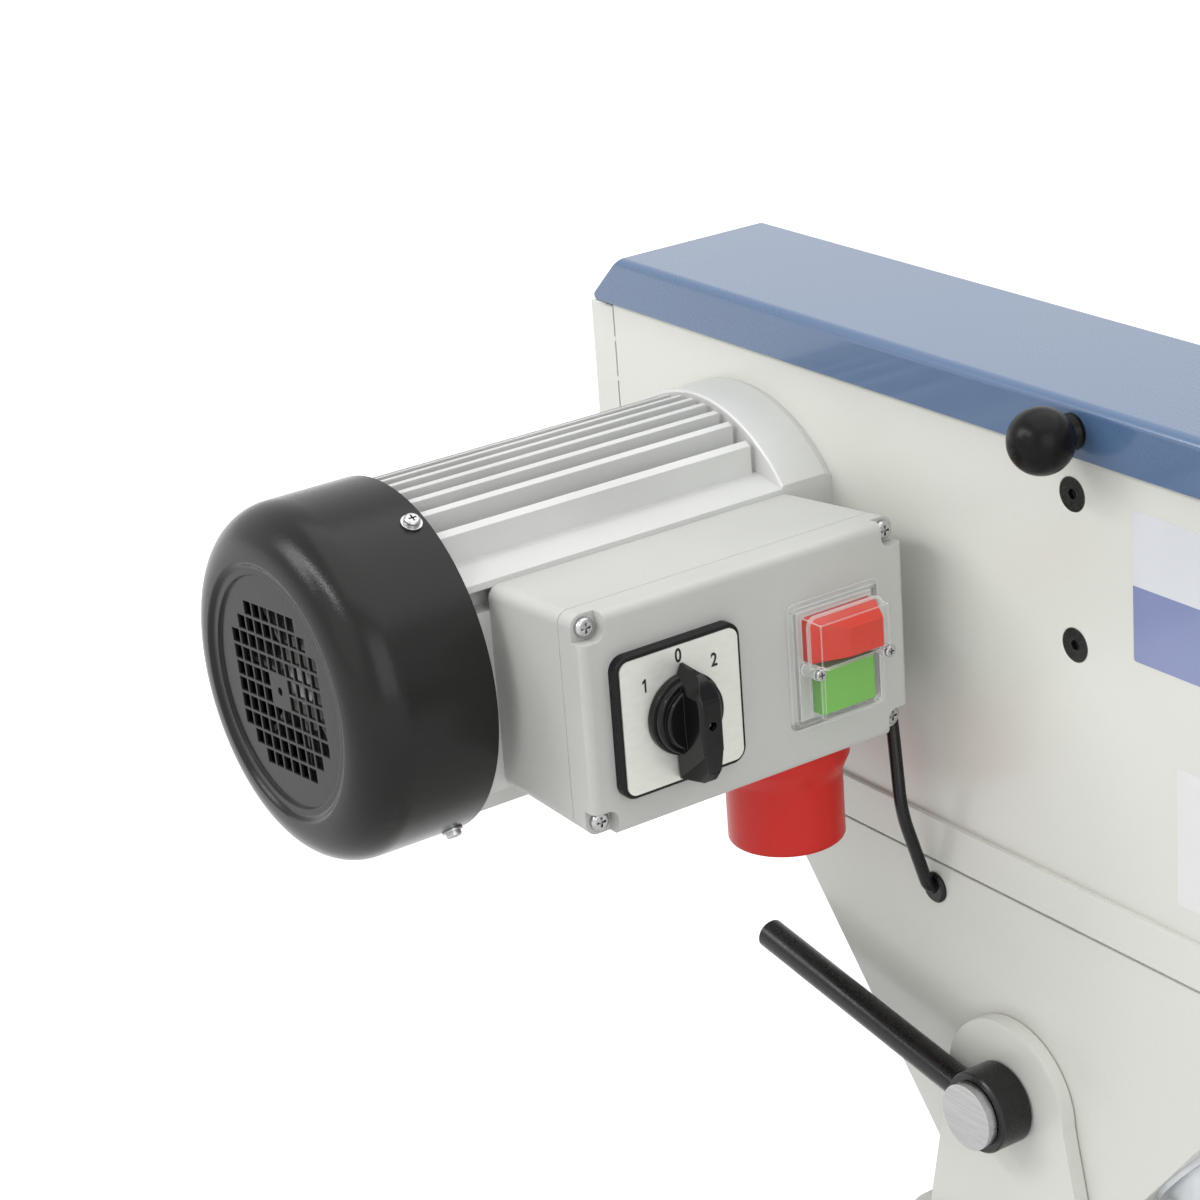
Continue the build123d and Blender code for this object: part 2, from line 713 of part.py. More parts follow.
def switch_box_base():
    body = box_solid(box_back, box_seam, 0, 6)
    body -= box_room(box_back + box_skin, box_seam + 1)
    body -= rod_x(14, motor_x + box_back - 1, motor_x + box_back + 9, near - 110, axis_height)
    body -= rod_y(4.4, near - 30, near - 15, cable_entry[0], cable_entry[2])
    return body - rod_z(22, box_floor - 1, box_floor + 16, motor_x + inlet_x, near + inlet_y)


def corner_places(inset):
    place, width, height = box_section(box_front, inset)
    return [(place.origin.Y + sy * width / 2, place.origin.Z + sz * height / 2, sy, sz)
            for sy in (-1, 1) for sz in (-1, 1)]


def switch_box_cover():
    body = box_solid(box_seam + 0.3, box_front, 0, 6)
    body = fillet(body.faces().sort_by(Axis.X)[-1].edges(), 4)
    body -= box_room(box_seam, box_front - box_skin)
    for y, z, sy, sz in corner_places(0):
        notch = along_x(motor_x + box_front - 8, y + sy * 4, z + sz * 4) * RectangleRounded(34, 34, 5)
        body -= extrude(notch, 12)
    body -= rod_x(6.5, motor_x + box_seam, motor_x + box_front + 1, near + dial_y, axis_height + dial_z)
    opening = along_x(motor_x + box_seam, near + button_y, axis_height + button_z)
    return body - extrude(opening * Rectangle(44.4, 54.4), 30)


def phillips(radius, height):
    head = Cylinder(radius, height, align=(Align.CENTER, Align.CENTER, Align.MIN))
    head = fillet(head.edges().sort_by(Axis.Z)[-1], height * 0.45)
    long, thin = radius * 1.1, radius * 0.26
    return head - Pos(0, 0, height) * (Box(long, thin, 1.8) + Box(thin, long, 1.8))


def box_screws():
    made = []
    for y, z, sy, sz in corner_places(6.8):
        made.append(along_x(motor_x + box_front - 8, y, z) * phillips(4.6, 3.2))
    for y in boss_places:
        made.append(along_x(boss_front, y, boss_z) * phillips(3, 2))
    return Compound(children=made)


# Rotary speed switch
def dial_bezel():
    place = along_x(motor_x + box_front, near + dial_y, axis_height + dial_z)
    body = extrude(place * RectangleRounded(69.5, 69.5, 7.5), 5.2)
    rim = body.faces().sort_by(Axis.X)[-1].edges()
    return fillet(rim, 1.2) - extrude(place * Circle(6.5), 9)


def dial_plate():
    place = along_x(motor_x + box_front + 5.2, near + dial_y, axis_height + dial_z)
    return extrude(place * (RectangleRounded(65, 65, 5) - Circle(6.5)), 0.8)


def cam_switch():
    y, z = near + dial_y, axis_height + dial_z
    x0, x1 = motor_x + 86, motor_x + box_front - box_skin
    body = block(x0, x1, y - 22, y + 22, z - 22, z + 22)
    body = chamfer(body.edges().filter_by(Axis.X), 5)
    for n in range(4):
        body -= block(x0 + 8 + 12 * n, x0 + 10 + 12 * n, y - 30, y + 30, z + 19, z + 30)
    return body - rod_x(4 + turn_gap, x1 - 20, x1 + 1, y, z)


def speed_knob():
    y, z = near + dial_y, axis_height + dial_z
    start = motor_x + box_front + 6 + running_gap
    body = rod_x(4, motor_x + 128, start, y, z)
    for radius, rise in ((19.5, 3.2), (18, 7), (15, 9.5)):
        step = rod_x(radius, start, start + rise, y, z)
        body += fillet(step.edges().sort_by(Axis.X)[-1], 1)
    body += knob_blade(start, y, z)
    return body - rod_x(2.2, start + 16, start + 30, y, z)


# The grip stands on a pointer tip at the top, has a round shoulder and narrows towards its lower end
def knob_blade(start, y, z):
    side = face([(start + 1, z + 24.5), (start + 17, z + 22.5), (start + knob_rise, z + 11),
                 (start + knob_rise, z - 22), (start + 18, z - 28.5), (start + 1, z - 31)])
    for corner, radius in (((17, 22.5), 7), ((knob_rise, 11), 8), ((knob_rise, -22), 5), ((18, -28.5), 3)):
        spot = (start + corner[0], z + corner[1], 0)
        side = fillet(side.vertices().sort_by_distance(spot)[0], radius)
    body = extrude(along_y(0, y + knob_half, 0) * side, 2 * knob_half)
    ridge = [edge for edge in body.edges() if edge.center().X > start + 16 and abs(edge.center().Y - y) > 2]
    body = fillet(ridge, 1.8)
    front = face([(0, 26), (6.1, 13), (6.1, 0), (4.8, -32), (-4.8, -32), (-6.1, 0), (-6.1, 13)])
    body = body & extrude(along_x(start, y, z) * front, 40)
    for turn in (-1, 1):
        slant = Plane(origin=(start + 1, y + turn * 4.9, z - 31), x_dir=(0, turn, 0), z_dir=(20, 0, 17))
        body -= extrude(slant * face([(0, 0), (20, 0), (20, -turn * 40), (-9, -turn * 40)]), 40)
    return body


# Start and stop switch under a clear cover, each button as (middle Y, middle Z, width, height)
stop_place = (near - 65.5, axis_height + 13.5, 39, 21)
start_place = (near - 64.75, axis_height - 12.7, 31.5, 23)
boss_places = (near - 84.6, near - 43.2)
boss_z = axis_height - 0.8
boss_front = motor_x + 161


def button_block(place, x0, x1, gap):
    y, z, width, height = place
    return extrude(along_x(x0, y, z) * Rectangle(width + 2 * gap, height + 2 * gap), x1 - x0)


def button_frame():
    x0, x1 = motor_x + 112, motor_x + box_front + 2
    place = along_x(x0, near + button_y, axis_height + button_z)
    body = extrude(place * Rectangle(44, 54), x1 - x0)
    for button in (stop_place, start_place):
        body -= button_block(button, x0 + 14, x1 + 1, 0.4)
    return body


def stop_button():
    y, z, width, height = stop_place
    shoulder = motor_x + 156
    crown = along_x(motor_x + 163, y + 8.3, z - 2.7) * Rectangle(19.5, 14.4)
    body = button_block(stop_place, motor_x + 134, shoulder, 0)
    return body + loft([along_x(shoulder, y, z) * Rectangle(width, height), crown], ruled=True)


def start_button():
    y, z, width, height = start_place
    front = motor_x + 157.5
    body = button_block(start_place, motor_x + 134, front, 0)
    body = fillet(body.faces().sort_by(Axis.X)[-1].edges(), 1.2)
    dish = face([(front - 1.6, y - width), (front + 1, y - width), (front + 1, y), (front, y)])
    return body - extrude(Pos(0, 0, z - height) * dish, 2 * height)


def clear_cover():
    y, z = near + button_y, axis_height + button_z
    x0 = motor_x + box_front
    body = extrude(along_x(x0, y, z) * RectangleRounded(54, 64, 4), 1.8)
    plateau = extrude(along_x(x0, y, z) * RectangleRounded(48.4, 58.4, 3), 3.8)
    body += fillet(plateau.faces().sort_by(Axis.X)[-1].edges(), 1)
    sy, sz, width, height = stop_place
    dome = extrude(along_x(x0 + 2.2, sy, sz) * RectangleRounded(width + 4, height + 4, 4), 15.8)
    body += fillet(dome.faces().sort_by(Axis.X)[-1].edges(), 2)
    lip = along_x(x0 + 9, sy, sz) * RectangleRounded(width + 6, height + 6, 5)
    body += extrude(lip, 1.4)
    gy, gz, width, height = start_place
    rim = along_x(x0 + 2.2, gy, gz) * RectangleRounded(width + 6, height + 5, 4)
    body += extrude(rim, 10.3)
    for boss in boss_places:
        body += rod_x(3.2, x0 + 2.2, boss_front, boss, boss_z)
        body -= rod_x(3.5, boss_front, x0 + 20, boss, boss_z)
    body -= extrude(along_x(x0 - 1, y, z) * Rectangle(44.4, 54.4), 3.2)
    body -= button_block(stop_place, x0, x0 + 16.8, 0.5)
    return body - button_block(start_place, x0, x0 + 20, 0.5)


# Mains inlet under the box
def mains_inlet():
    x, y = motor_x + inlet_x, near + inlet_y
    plate = extrude(Pos(x, y, box_floor - 6) * RectangleRounded(60, 66, 8), 6)
    tube = rod_z(inlet_radius, inlet_rim, box_floor - 5, x, y)
    skirt = Pos(x, y, box_floor - 25) * Cone(inlet_radius, inlet_flare, 9,
                                             align=(Align.CENTER, Align.CENTER, Align.MIN))
    skirt += rod_z(inlet_flare, box_floor - 16, box_floor - 5, x, y)
    body = plate + tube + skirt - rod_z(inlet_radius - 3.4, axis_height - 120, box_floor - 8, x, y)
    body -= rod_z(20, axis_height - 120, box_floor + 1, x, y)
    lip = body.faces().sort_by(Axis.Z)[0].outer_wire().edges()
    return fillet(lip, 1)


def inlet_pin_places():
    turns = [math.radians(90 + 72 * n) for n in range(5)]
    return [(motor_x + inlet_x + 13.5 * math.cos(a), near + inlet_y + 13.5 * math.sin(a)) for a in turns]


def inlet_core():
    x, y = motor_x + inlet_x, near + inlet_y
    body = rod_z(inlet_radius - 3.5, box_floor - 18, box_floor - 8, x, y)
    body += rod_z(19.6, box_floor - 10, box_floor + 12, x, y)
    for px, py in inlet_pin_places():
        body -= rod_z(2.6, box_floor - 30, box_floor + 20, px, py)
    return body


def inlet_pins():
    made = []
    for px, py in inlet_pin_places():
        pin = rod_z(2.5, box_floor - 50, box_floor + 10, px, py)
        made.append(fillet(pin.edges().sort_by(Axis.Z)[0], 1.8))
    return Compound(children=made)


# Control cable from the box end to the funnel, which it enters on a slant, with its two grommets
cable_radius = 3.25
cable_entry = (motor_x + 117, near - 22, axis_height - 30)
cable_exit = (motor_x + 137.8, -bracket_half, axis_height - 147.6)
cable_slant = math.radians(28.5)
cable_heading = (0, math.cos(cable_slant), -math.sin(cable_slant))
grommet_neck = 6.2


def control_cable():
    ex, ey, ez = cable_entry
    gx, gy, gz = cable_exit
    heading, hole = Vector(*cable_heading), Vector(*cable_exit)
    points = [(ex, ey - 8, ez), (ex, ey + 11, ez), (ex + 11.2, ey + 5.7, ez - 39),
              (gx - 0.4, ey + 0.9, gz + 47.5), hole - heading * 6, hole + heading * 14]
    path = FilletPolyline(*points, radius=[8.5, 60, 40, 8])
    start = Plane(origin=points[0], x_dir=(1, 0, 0), z_dir=(0, 1, 0))
    body = sweep(start * Circle(cable_radius), path=path)
    expected = math.pi * cable_radius ** 2 * path.length
    print("cable volume over section times length", round(body.volume / expected, 4))
    return body


def grommet(place, side, lip, neck, heading):
    x, y, z = place
    front, back = y - side * lip, y + side * 4
    rim = neck + 1.8
    body = lathe_y([(0, front), (rim - 1.2, front), (rim, y - side * lip / 2), (rim, y), (neck, y),
                    (neck, back), (0, back)], x, z)
    bore = Cylinder(cable_radius + fit_gap, 40)
    return body - Plane(origin=place, x_dir=(1, 0, 0), z_dir=heading) * bore


def cable_grommets():
    ex, _, ez = cable_entry
    _, width, _ = box_section(ex - motor_x, 0)
    end = near - 113.5 + width / 2 + 0.4
    box_ring = grommet((ex, end, ez), -1, 2, 4.3, (0, 1, 0))
    funnel_ring = grommet(cable_exit, 1, 2.2, grommet_neck, cable_heading)
    return Compound(children=[box_ring, funnel_ring])


# Contact wheel on its tension slide
def contact_core():
    half = wheel_width / 2
    profile = [(78, -half), (tyre_seat, -half), (tyre_seat, half), (78, half), (78, 6), (34, 6), (34, 31),
               (26, 31), (26, 15.5), (20, 15.5), (20, -15.5), (26, -15.5), (26, -31), (34, -31), (34, -6),
               (78, -6)]
    body = lathe_y(profile, contact_x, axis_height)
    for turn in range(0, 360, 60):
        a = math.radians(turn)
        body -= rod_y(14, -10, 10, contact_x + 56 * math.cos(a), axis_height + 56 * math.sin(a))
    return body


def contact_tyre():
    body = ring_y(wheel_radius, tyre_seat, -wheel_width / 2, wheel_width / 2, contact_x, axis_height)
    groove = Pos(0, 0, wheel_radius) * Rot(0, 0, 35) * Box(5, 130, 6)
    axis = Axis((contact_x, 0, axis_height), (0, 1, 0))
    groove = Pos(contact_x, 0, axis_height) * groove
    return body - [groove.rotate(axis, 12 * n) for n in range(30)]


def contact_bearings():
    rings = [ring_y(26, pin_radius + turn_gap, y, y + 15, contact_x, axis_height) for y in (-30.5, 15.5)]
    return Compound(children=rings)


def contact_axle():
    body = rod_y(pin_radius, near - 0.5 - slide_skin, 34, contact_x, axis_height)
    body += rod_y(16.5, near - 0.5, -30.9, contact_x, axis_height)
    return body + hex_y(32, 31, 40, contact_x, axis_height)


def tension_slide():
    y1 = near - 0.5
    y0 = y1 - slide_skin
    x0, x1 = contact_x - 70, contact_x + 42
    body = block(x0, x1, y0, y1, axis_height - slide_half, axis_height + slide_half)
    body += block(x0, x0 + 9, spring_y - 11, y1, axis_height - 14, axis_height + 14)
    body -= rod_x(5.4, x0 - 1, x0 + 10, spring_y, axis_height)
    body += rod_y(4, y0 - 13, y0, contact_x - 20, axis_height - 12)
    return body - rod_y(pin_radius, y0 - 1, y1 + 1, contact_x, axis_height)


def tension_guides():
    x0, x1 = contact_x - 96, contact_x + 44
    edge = slide_half + slide_gap
    lip = near - 0.5 - slide_skin - slide_gap
    made = []
    for side in (-1, 1):
        inner, middle, outer = [axis_height + side * (edge + step) for step in (-6, 0, 12)]
        rail = block(x0, x1, lip - 4, near, *sorted((middle, outer)))
        made.append(rail + block(x0, x1, lip - 4, lip, *sorted((inner, middle))))
    anchor = block(contact_x - 158, contact_x - 138, spring_y - 11, near, axis_height - 16,
                   axis_height + 16)
    anchor += rod_x(5, contact_x - 140, contact_x - 63, spring_y, axis_height)
    pivot = rod_y(6, lever_plate[0] - 1, near, contact_x - 20, axis_height - 78)
    pivot += rod_y(9, lever_plate[0] - 5, lever_plate[0] - 0.5, contact_x - 20, axis_height - 78)
    pivot += rod_y(10, lever_plate[1] + 0.5, near, contact_x - 20, axis_height - 78)
    return Compound(children=[*made, anchor, pivot])


lever_plate = (near - 21.5, near - 15.5)


def helix_point(turn, pitch, radius):
    a = 2 * math.pi * turn
    place = Vector(radius * math.cos(a), radius * math.sin(a), pitch * turn)
    heading = Vector(-radius * math.sin(a), radius * math.cos(a), pitch / (2 * math.pi))
    return place, heading.normalized()


# Two arcs that leave and arrive along the given headings
def biarc(start, end):
    (p0, t0), (p1, t1) = start, end
    span, both = p1 - p0, t0 + t1
    a = both.dot(both) - 4
    b = -2 * span.dot(both)
    c = span.dot(span)
    reach = (-b - math.sqrt(b * b - 4 * a * c)) / (2 * a)
    first, last = p0 + t0 * reach, p1 - t1 * reach
    joint = (first + last) * 0.5
    return [TangentArc(p0, joint, tangent=t0), TangentArc(joint, p1, tangent=last - first)]


def tension_spring():
    start, end = contact_x - 138, contact_x - 70
    wire, middle_radius, curls, steps = 1.3, 8, 8, 4
    pitch = (end - start - 2 * wire) / curls
    marks = [helix_point(n / steps, pitch, middle_radius) for n in range(curls * steps + 1)]
    arcs = [arc for pair in zip(marks, marks[1:]) for arc in biarc(*pair)]
    section = Plane(origin=marks[0][0], z_dir=marks[0][1]) * Circle(wire)
    body = sweep(section, path=Wire(arcs))
    turn = [arc @ share for arc in arcs[:4 * steps] for share in (0, 0.25, 0.5, 0.75)]
    half = len(turn) // 2
    gap = min((p - q).length for p in turn[:half // 2] for q in turn[half:]) - 2 * wire
    print("spring gap between curls", round(gap, 2))
    return Plane(origin=(start + wire, spring_y, axis_height), x_dir=(0, 1, 0), z_dir=(1, 0, 0)) * body


def tension_lever():
    x, z = contact_x - 20, axis_height - 78
    y0, y1 = lever_plate
    tip = axis_height + 4
    arm = slab([(x - 13, z - 100), (x + 13, z - 100), (x + 15, z), (x + 11, tip), (x - 11, tip), (x - 15, z)],
               y0, y1)
    arm -= extrude(along_y(x, y1 + 1, axis_height - 12) * Rot(0, 0, 90) * SlotCenterToCenter(9, 9), 9)
    arm -= rod_y(6 + turn_gap, y0 - 1, y1 + 1, x, z)
    grip = extrude(along_y(x, y1 + 8, z - 128) * RectangleRounded(30, 84, 12), 22)
    return arm + fillet(grip.edges().filter_by(GeomType.LINE).filter_by(Axis.Z), 4)


# Work rest in front of the contact wheel
rest_near = contact_x + belt_outer + 3


def rest_arm():
    y0, y1 = near - proud - 8, near - proud
    body = block(contact_x - 100, rest_near + 70, y0, y1, tray_bottom + 1, tray_bottom + 21)
    body += block(rest_near + 30, rest_near + 70, y0, y1, tray_bottom + 1, axis_height - 10)
    top = block(rest_near + 12, rest_near + 88, y0, 24, axis_height - 18, axis_height - 10)
    top -= extrude(Pos(rest_near + 50, 0, axis_height - 20) * SlotOverall(50, 9), 14)
    gusset = face([(y1, axis_height - 18), (y1, axis_height - 60), (y1 + 28, axis_height - 18)])
    return body + top + extrude(along_x(rest_near + 66) * gusset, 4)


def rest_table():
    top = block(rest_near, rest_near + 90, -62, 62, axis_height - 10 + fit_gap, axis_height)
    top = fillet(top.edges().filter_by(Axis.Z).group_by(Axis.X)[-1], 10)
    return top + rod_z(4, axis_height - 34, axis_height - 5, rest_near + 35, 0)


def rest_knob():
    x = rest_near + 35
    body = rod_z(16, axis_height - 38, axis_height - 18 - fit_gap, x, 0)
    for n in range(6):
        a = math.radians(60 * n)
        body -= rod_z(5, axis_height - 50, axis_height - 10, x + 19 * math.cos(a), 19 * math.sin(a))
    return body - rod_z(4 + turn_gap, axis_height - 34 - turn_gap, axis_height, x, 0)


for maker in (base_plate, column, fork_head, pivot_pin, clamp_lever, tilt_bracket, dust_spout,
              base_tray, motor_wall, rear_panel, top_rail, hinge_leaves, far_door, door_latch, lid,
              lid_knob, wheel_hood, eye_shield, platen, platen_brackets, platen_screws, sanding_belt,
              drive_wheel, wheel_bolt, motor_shaft, fan, motor_flange, motor_frame, motor_rear_shield,
              motor_bearings, fan_cowl, cowl_screws, hex_bolts, switch_box_base, switch_box_cover,
              box_screws, dial_bezel, dial_plate, cam_switch, speed_knob, button_frame, stop_button,
              start_button, clear_cover, mains_inlet, inlet_core, inlet_pins, control_cable,
              cable_grommets, contact_core, contact_tyre, contact_bearings, contact_axle,
              tension_slide, tension_guides, tension_spring, tension_lever, rest_arm, rest_table,
              rest_knob):
    add(maker.__name__, maker())

os.makedirs("parts", exist_ok=True)
for name, shape in pieces.items():
    export_step(shape, f"parts/{name}.step")
print(len(pieces), "pieces written")
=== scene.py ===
import json
import math

import bmesh
import bpy
from mathutils import Matrix, Vector


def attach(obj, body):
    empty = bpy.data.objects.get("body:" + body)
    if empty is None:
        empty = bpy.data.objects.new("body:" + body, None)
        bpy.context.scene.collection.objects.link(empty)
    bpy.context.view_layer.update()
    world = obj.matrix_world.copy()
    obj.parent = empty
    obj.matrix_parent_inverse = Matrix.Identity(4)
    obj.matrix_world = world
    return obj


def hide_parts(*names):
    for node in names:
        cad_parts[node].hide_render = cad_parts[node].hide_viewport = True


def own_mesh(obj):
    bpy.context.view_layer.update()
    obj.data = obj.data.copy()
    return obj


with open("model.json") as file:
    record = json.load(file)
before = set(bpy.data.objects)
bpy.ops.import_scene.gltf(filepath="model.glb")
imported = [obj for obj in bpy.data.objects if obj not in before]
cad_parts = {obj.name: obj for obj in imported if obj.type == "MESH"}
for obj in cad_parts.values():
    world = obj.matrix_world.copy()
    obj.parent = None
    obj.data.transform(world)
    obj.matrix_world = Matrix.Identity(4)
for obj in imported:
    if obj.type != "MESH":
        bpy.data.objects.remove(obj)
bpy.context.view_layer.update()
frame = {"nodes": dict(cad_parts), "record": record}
nodes = frame["nodes"]
print("frame loaded:", len(nodes), "nodes")

# shared places, metres
motorX, axisZ, nearY = -0.195, 0.9, -0.0455
contactX = 0.49398


# shader sockets as numbers
class Sock:
    def __init__(self, socket):
        self.socket = socket

    def calc(self, operation, first, second):
        node = self.socket.id_data.nodes.new("ShaderNodeMath")
        node.operation = operation
        feed(node.inputs[0], first)
        feed(node.inputs[1], second)
        return Sock(node.outputs[0])

    def __add__(self, other):
        return self.calc("ADD", self, other)

    def __sub__(self, other):
        return self.calc("SUBTRACT", self, other)

    def __rsub__(self, other):
        return self.calc("SUBTRACT", other, self)

    def __mul__(self, other):
        return self.calc("MULTIPLY", self, other)

    def __pow__(self, other):
        return self.calc("POWER", self, other)

    __radd__ = __add__
    __rmul__ = __mul__

    def above(self, level):
        return self.calc("GREATER_THAN", self, level)

    def below(self, level):
        return self.calc("LESS_THAN", self, level)


def feed(slot, value):
    if isinstance(value, Sock):
        slot.id_data.links.new(value.socket, slot)
    else:
        slot.default_value = value


def tinted(colour, factor):
    return tuple(min(1.0, c * factor) for c in colour)


class Finish:
    def __init__(self, name, fixed):
        self.material = bpy.data.materials.new(name)
        self.material.use_nodes = True
        self.tree = self.material.node_tree
        self.shader = self.tree.nodes["Principled BSDF"]
        for socketName, value in fixed.items():
            self.shader.inputs[socketName].default_value = value
        self.place = self.add("ShaderNodeTexCoord", {}, {}, "Object")

    def add(self, kind, settings, sockets, out=0):
        node = self.tree.nodes.new(kind)
        for key, value in settings.items():
            setattr(node, key, value)
        for key, value in sockets.items():
            feed(node.inputs[key], value)
        return Sock(node.outputs[out])

    def set(self, socketName, value):
        feed(self.shader.inputs[socketName], value)

    def noise(self, scale, detail=2, stretch=None):
        spot = self.place
        if stretch:
            spot = self.add("ShaderNodeVectorMath", {"operation": "MULTIPLY"}, {0: spot, 1: stretch})
        return self.add("ShaderNodeTexNoise", {}, {"Vector": spot, "Scale": scale, "Detail": detail}, "Fac")

    # most of a noise lies between the default limits
    def ramp(self, value, low=0.3, high=0.7):
        return self.add("ShaderNodeMapRange", {"clamp": True}, {0: value, 1: low, 2: high, 3: 0.0, 4: 1.0})

    def mix(self, mask, first, second):
        ends = [c if isinstance(c, Sock) else (*c, 1) for c in (first, second)]
        return self.add("ShaderNodeMix", {"data_type": "RGBA"}, {0: mask, 6: ends[0], 7: ends[1]}, 2)

    def vary(self, mask, colour, dark, light):
        return self.mix(mask, tinted(colour, dark), tinted(colour, light))

    # bright where the surface turns over an edge
    def edge(self, radius, start=0.02, full=0.2):
        bent = self.add("ShaderNodeBevel", {"samples": 4}, {"Radius": radius})
        flat = self.add("ShaderNodeNewGeometry", {}, {}, "Normal")
        turned = self.add("ShaderNodeVectorMath", {"operation": "DOT_PRODUCT"}, {0: bent, 1: flat}, "Value")
        return self.ramp(1 - turned, start, full)

    def bump(self, height, depth, rounding=0.0):
        sockets = {"Height": height, "Distance": depth, "Strength": 1.0}
        if rounding:
            sockets["Normal"] = self.add("ShaderNodeBevel", {"samples": 4}, {"Radius": rounding})
        self.set("Normal", self.add("ShaderNodeBump", {}, sockets))


# sprayed and baked paint: slow shade drift, orange peel, and lighter edges, partly worn thin paint and
# partly a painted edge highlight
sprayed = {"drift": 0.6, "speck": 0.4, "dark": 0.965, "light": 1.03, "uneven": 0.06, "dusty": 0.04,
           "finer": 3.1, "fineShare": 0.35}


def paint(name, look):
    f = Finish(name, {"Coat Weight": look["coat"], "Coat Roughness": look["coatRough"],
                      "Specular IOR Level": look["shine"]})
    drift = f.ramp(f.noise(scale=5, detail=3))
    speck = f.ramp(f.noise(scale=900, detail=1), low=0.35, high=0.75)
    mottle = sprayed["drift"] * drift + sprayed["speck"] * speck
    shade = f.vary(mottle, look["colour"], sprayed["dark"], sprayed["light"])
    rim = f.edge(look["round"] * 2)
    # lighter edges: partly worn paint, partly a painted edge highlight
    f.set("Base Color", f.mix(rim * look["wear"], shade, look["edgeWearAndGlintColour"]))
    f.set("Roughness", look["rough"] + (drift - 0.5) * sprayed["uneven"] + speck * sprayed["dusty"])
    finePeel = f.noise(look["peel"] * sprayed["finer"], detail=1)
    f.bump(f.noise(look["peel"]) + finePeel * sprayed["fineShare"], look["depth"], look["round"])
    return f.material


paints = {
    "head_paint": {"colour": (0.66, 0.67, 0.62), "edgeWearAndGlintColour": (0.77, 0.775, 0.73), "rough": 0.30,
                   "coat": 0.25, "coatRough": 0.08, "shine": 0.5, "wear": 0.5, "peel": 420,
                   "depth": 0.00006, "round": 0.0012},
    "stand_paint": {"colour": (0.66, 0.67, 0.62), "edgeWearAndGlintColour": (0.77, 0.775, 0.73), "rough": 0.34,
                    "coat": 0.2, "coatRough": 0.1, "shine": 0.5, "wear": 0.5, "peel": 380,
                    "depth": 0.00008, "round": 0.0015},
    "lid_paint": {"colour": (0.076, 0.139, 0.258), "edgeWearAndGlintColour": (0.20, 0.29, 0.47), "rough": 0.28,
                  "coat": 0.78, "coatRough": 0.10, "shine": 0.36, "wear": 0.35, "peel": 260,
                  "depth": 0.000008, "round": 0.0005},
    "cowl_black": {"colour": (0.0150, 0.0146, 0.0140), "edgeWearAndGlintColour": (0.028, 0.028, 0.027), "rough": 0.20,
                   "coat": 0.0, "coatRough": 0.1, "shine": 0.2, "wear": 0.35, "peel": 900,
                   "depth": 0.00007, "round": 0.0009},
}


# silver grey paint over sand cast or extruded alloy
def castPaint(name, look):
    f = Finish(name, {"Metallic": look["metallic"], "Coat Weight": look["coat"],
                      "Coat Roughness": look["coatRough"]})
    cloud = f.ramp(f.noise(scale=14, detail=4))
    grit = f.ramp(f.noise(scale=1300))
    shade = f.vary(cloud, look["colour"], look["dark"], look["light"])
    rim = f.edge(look["round"] * 2)
    # lighter rims: partly rubbed paint, partly a painted edge highlight
    f.set("Base Color", f.mix(rim * look["wear"], shade, look["edgeWearAndGlintColour"]))
    f.set("Roughness", look["rough"] + grit * look["gritRough"])
    sand = f.noise(scale=700, detail=3) + f.noise(scale=2400, detail=1) * look["fineShare"]
    f.bump(sand, look["depth"], look["round"])
    return f.material


castings = {
    "motor_paint": {"colour": (0.61, 0.615, 0.60), "edgeWearAndGlintColour": (0.72, 0.725, 0.71), "dark": 0.94,
                    "light": 1.05, "metallic": 0.15, "coat": 0.1, "coatRough": 0.3, "rough": 0.42,
                    "gritRough": 0.1, "wear": 0.55, "fineShare": 0.4, "depth": 0.00012, "round": 0.0006},
}

# moulded plastic with its fine spark-eroded grain
mould = {"round": 0.0006, "rim": 0.0009, "rubbedAndGlint": 0.6, "dark": 0.955, "light": 1.045, "uneven": 0.35,
         "finer": 2.7, "fineShare": 0.5}


def moulded(name, look):
    look = mould | look
    f = Finish(name, {"Specular IOR Level": look["shine"]})
    flow = f.ramp(f.noise(scale=9, detail=3))
    grain = f.noise(look["grain"])
    shade = f.vary(flow, look["colour"], look["dark"], look["light"])
    # pale edges: partly rubbed plastic, partly a painted glint along the edges
    wearAndGlintPale = tinted(look["colour"], 1.0 + look["wearAndGlintPale"])
    f.set("Base Color", f.mix(f.edge(look["rim"]) * look["rubbedAndGlint"], shade, wearAndGlintPale))
    f.set("Roughness", look["rough"] + (f.ramp(grain) - 0.5) * look["rough"] * look["uneven"])
    fineGrain = f.noise(look["grain"] * look["finer"], detail=1)
    f.bump(grain + fineGrain * look["fineShare"], look["depth"], look["round"])
    return f.material


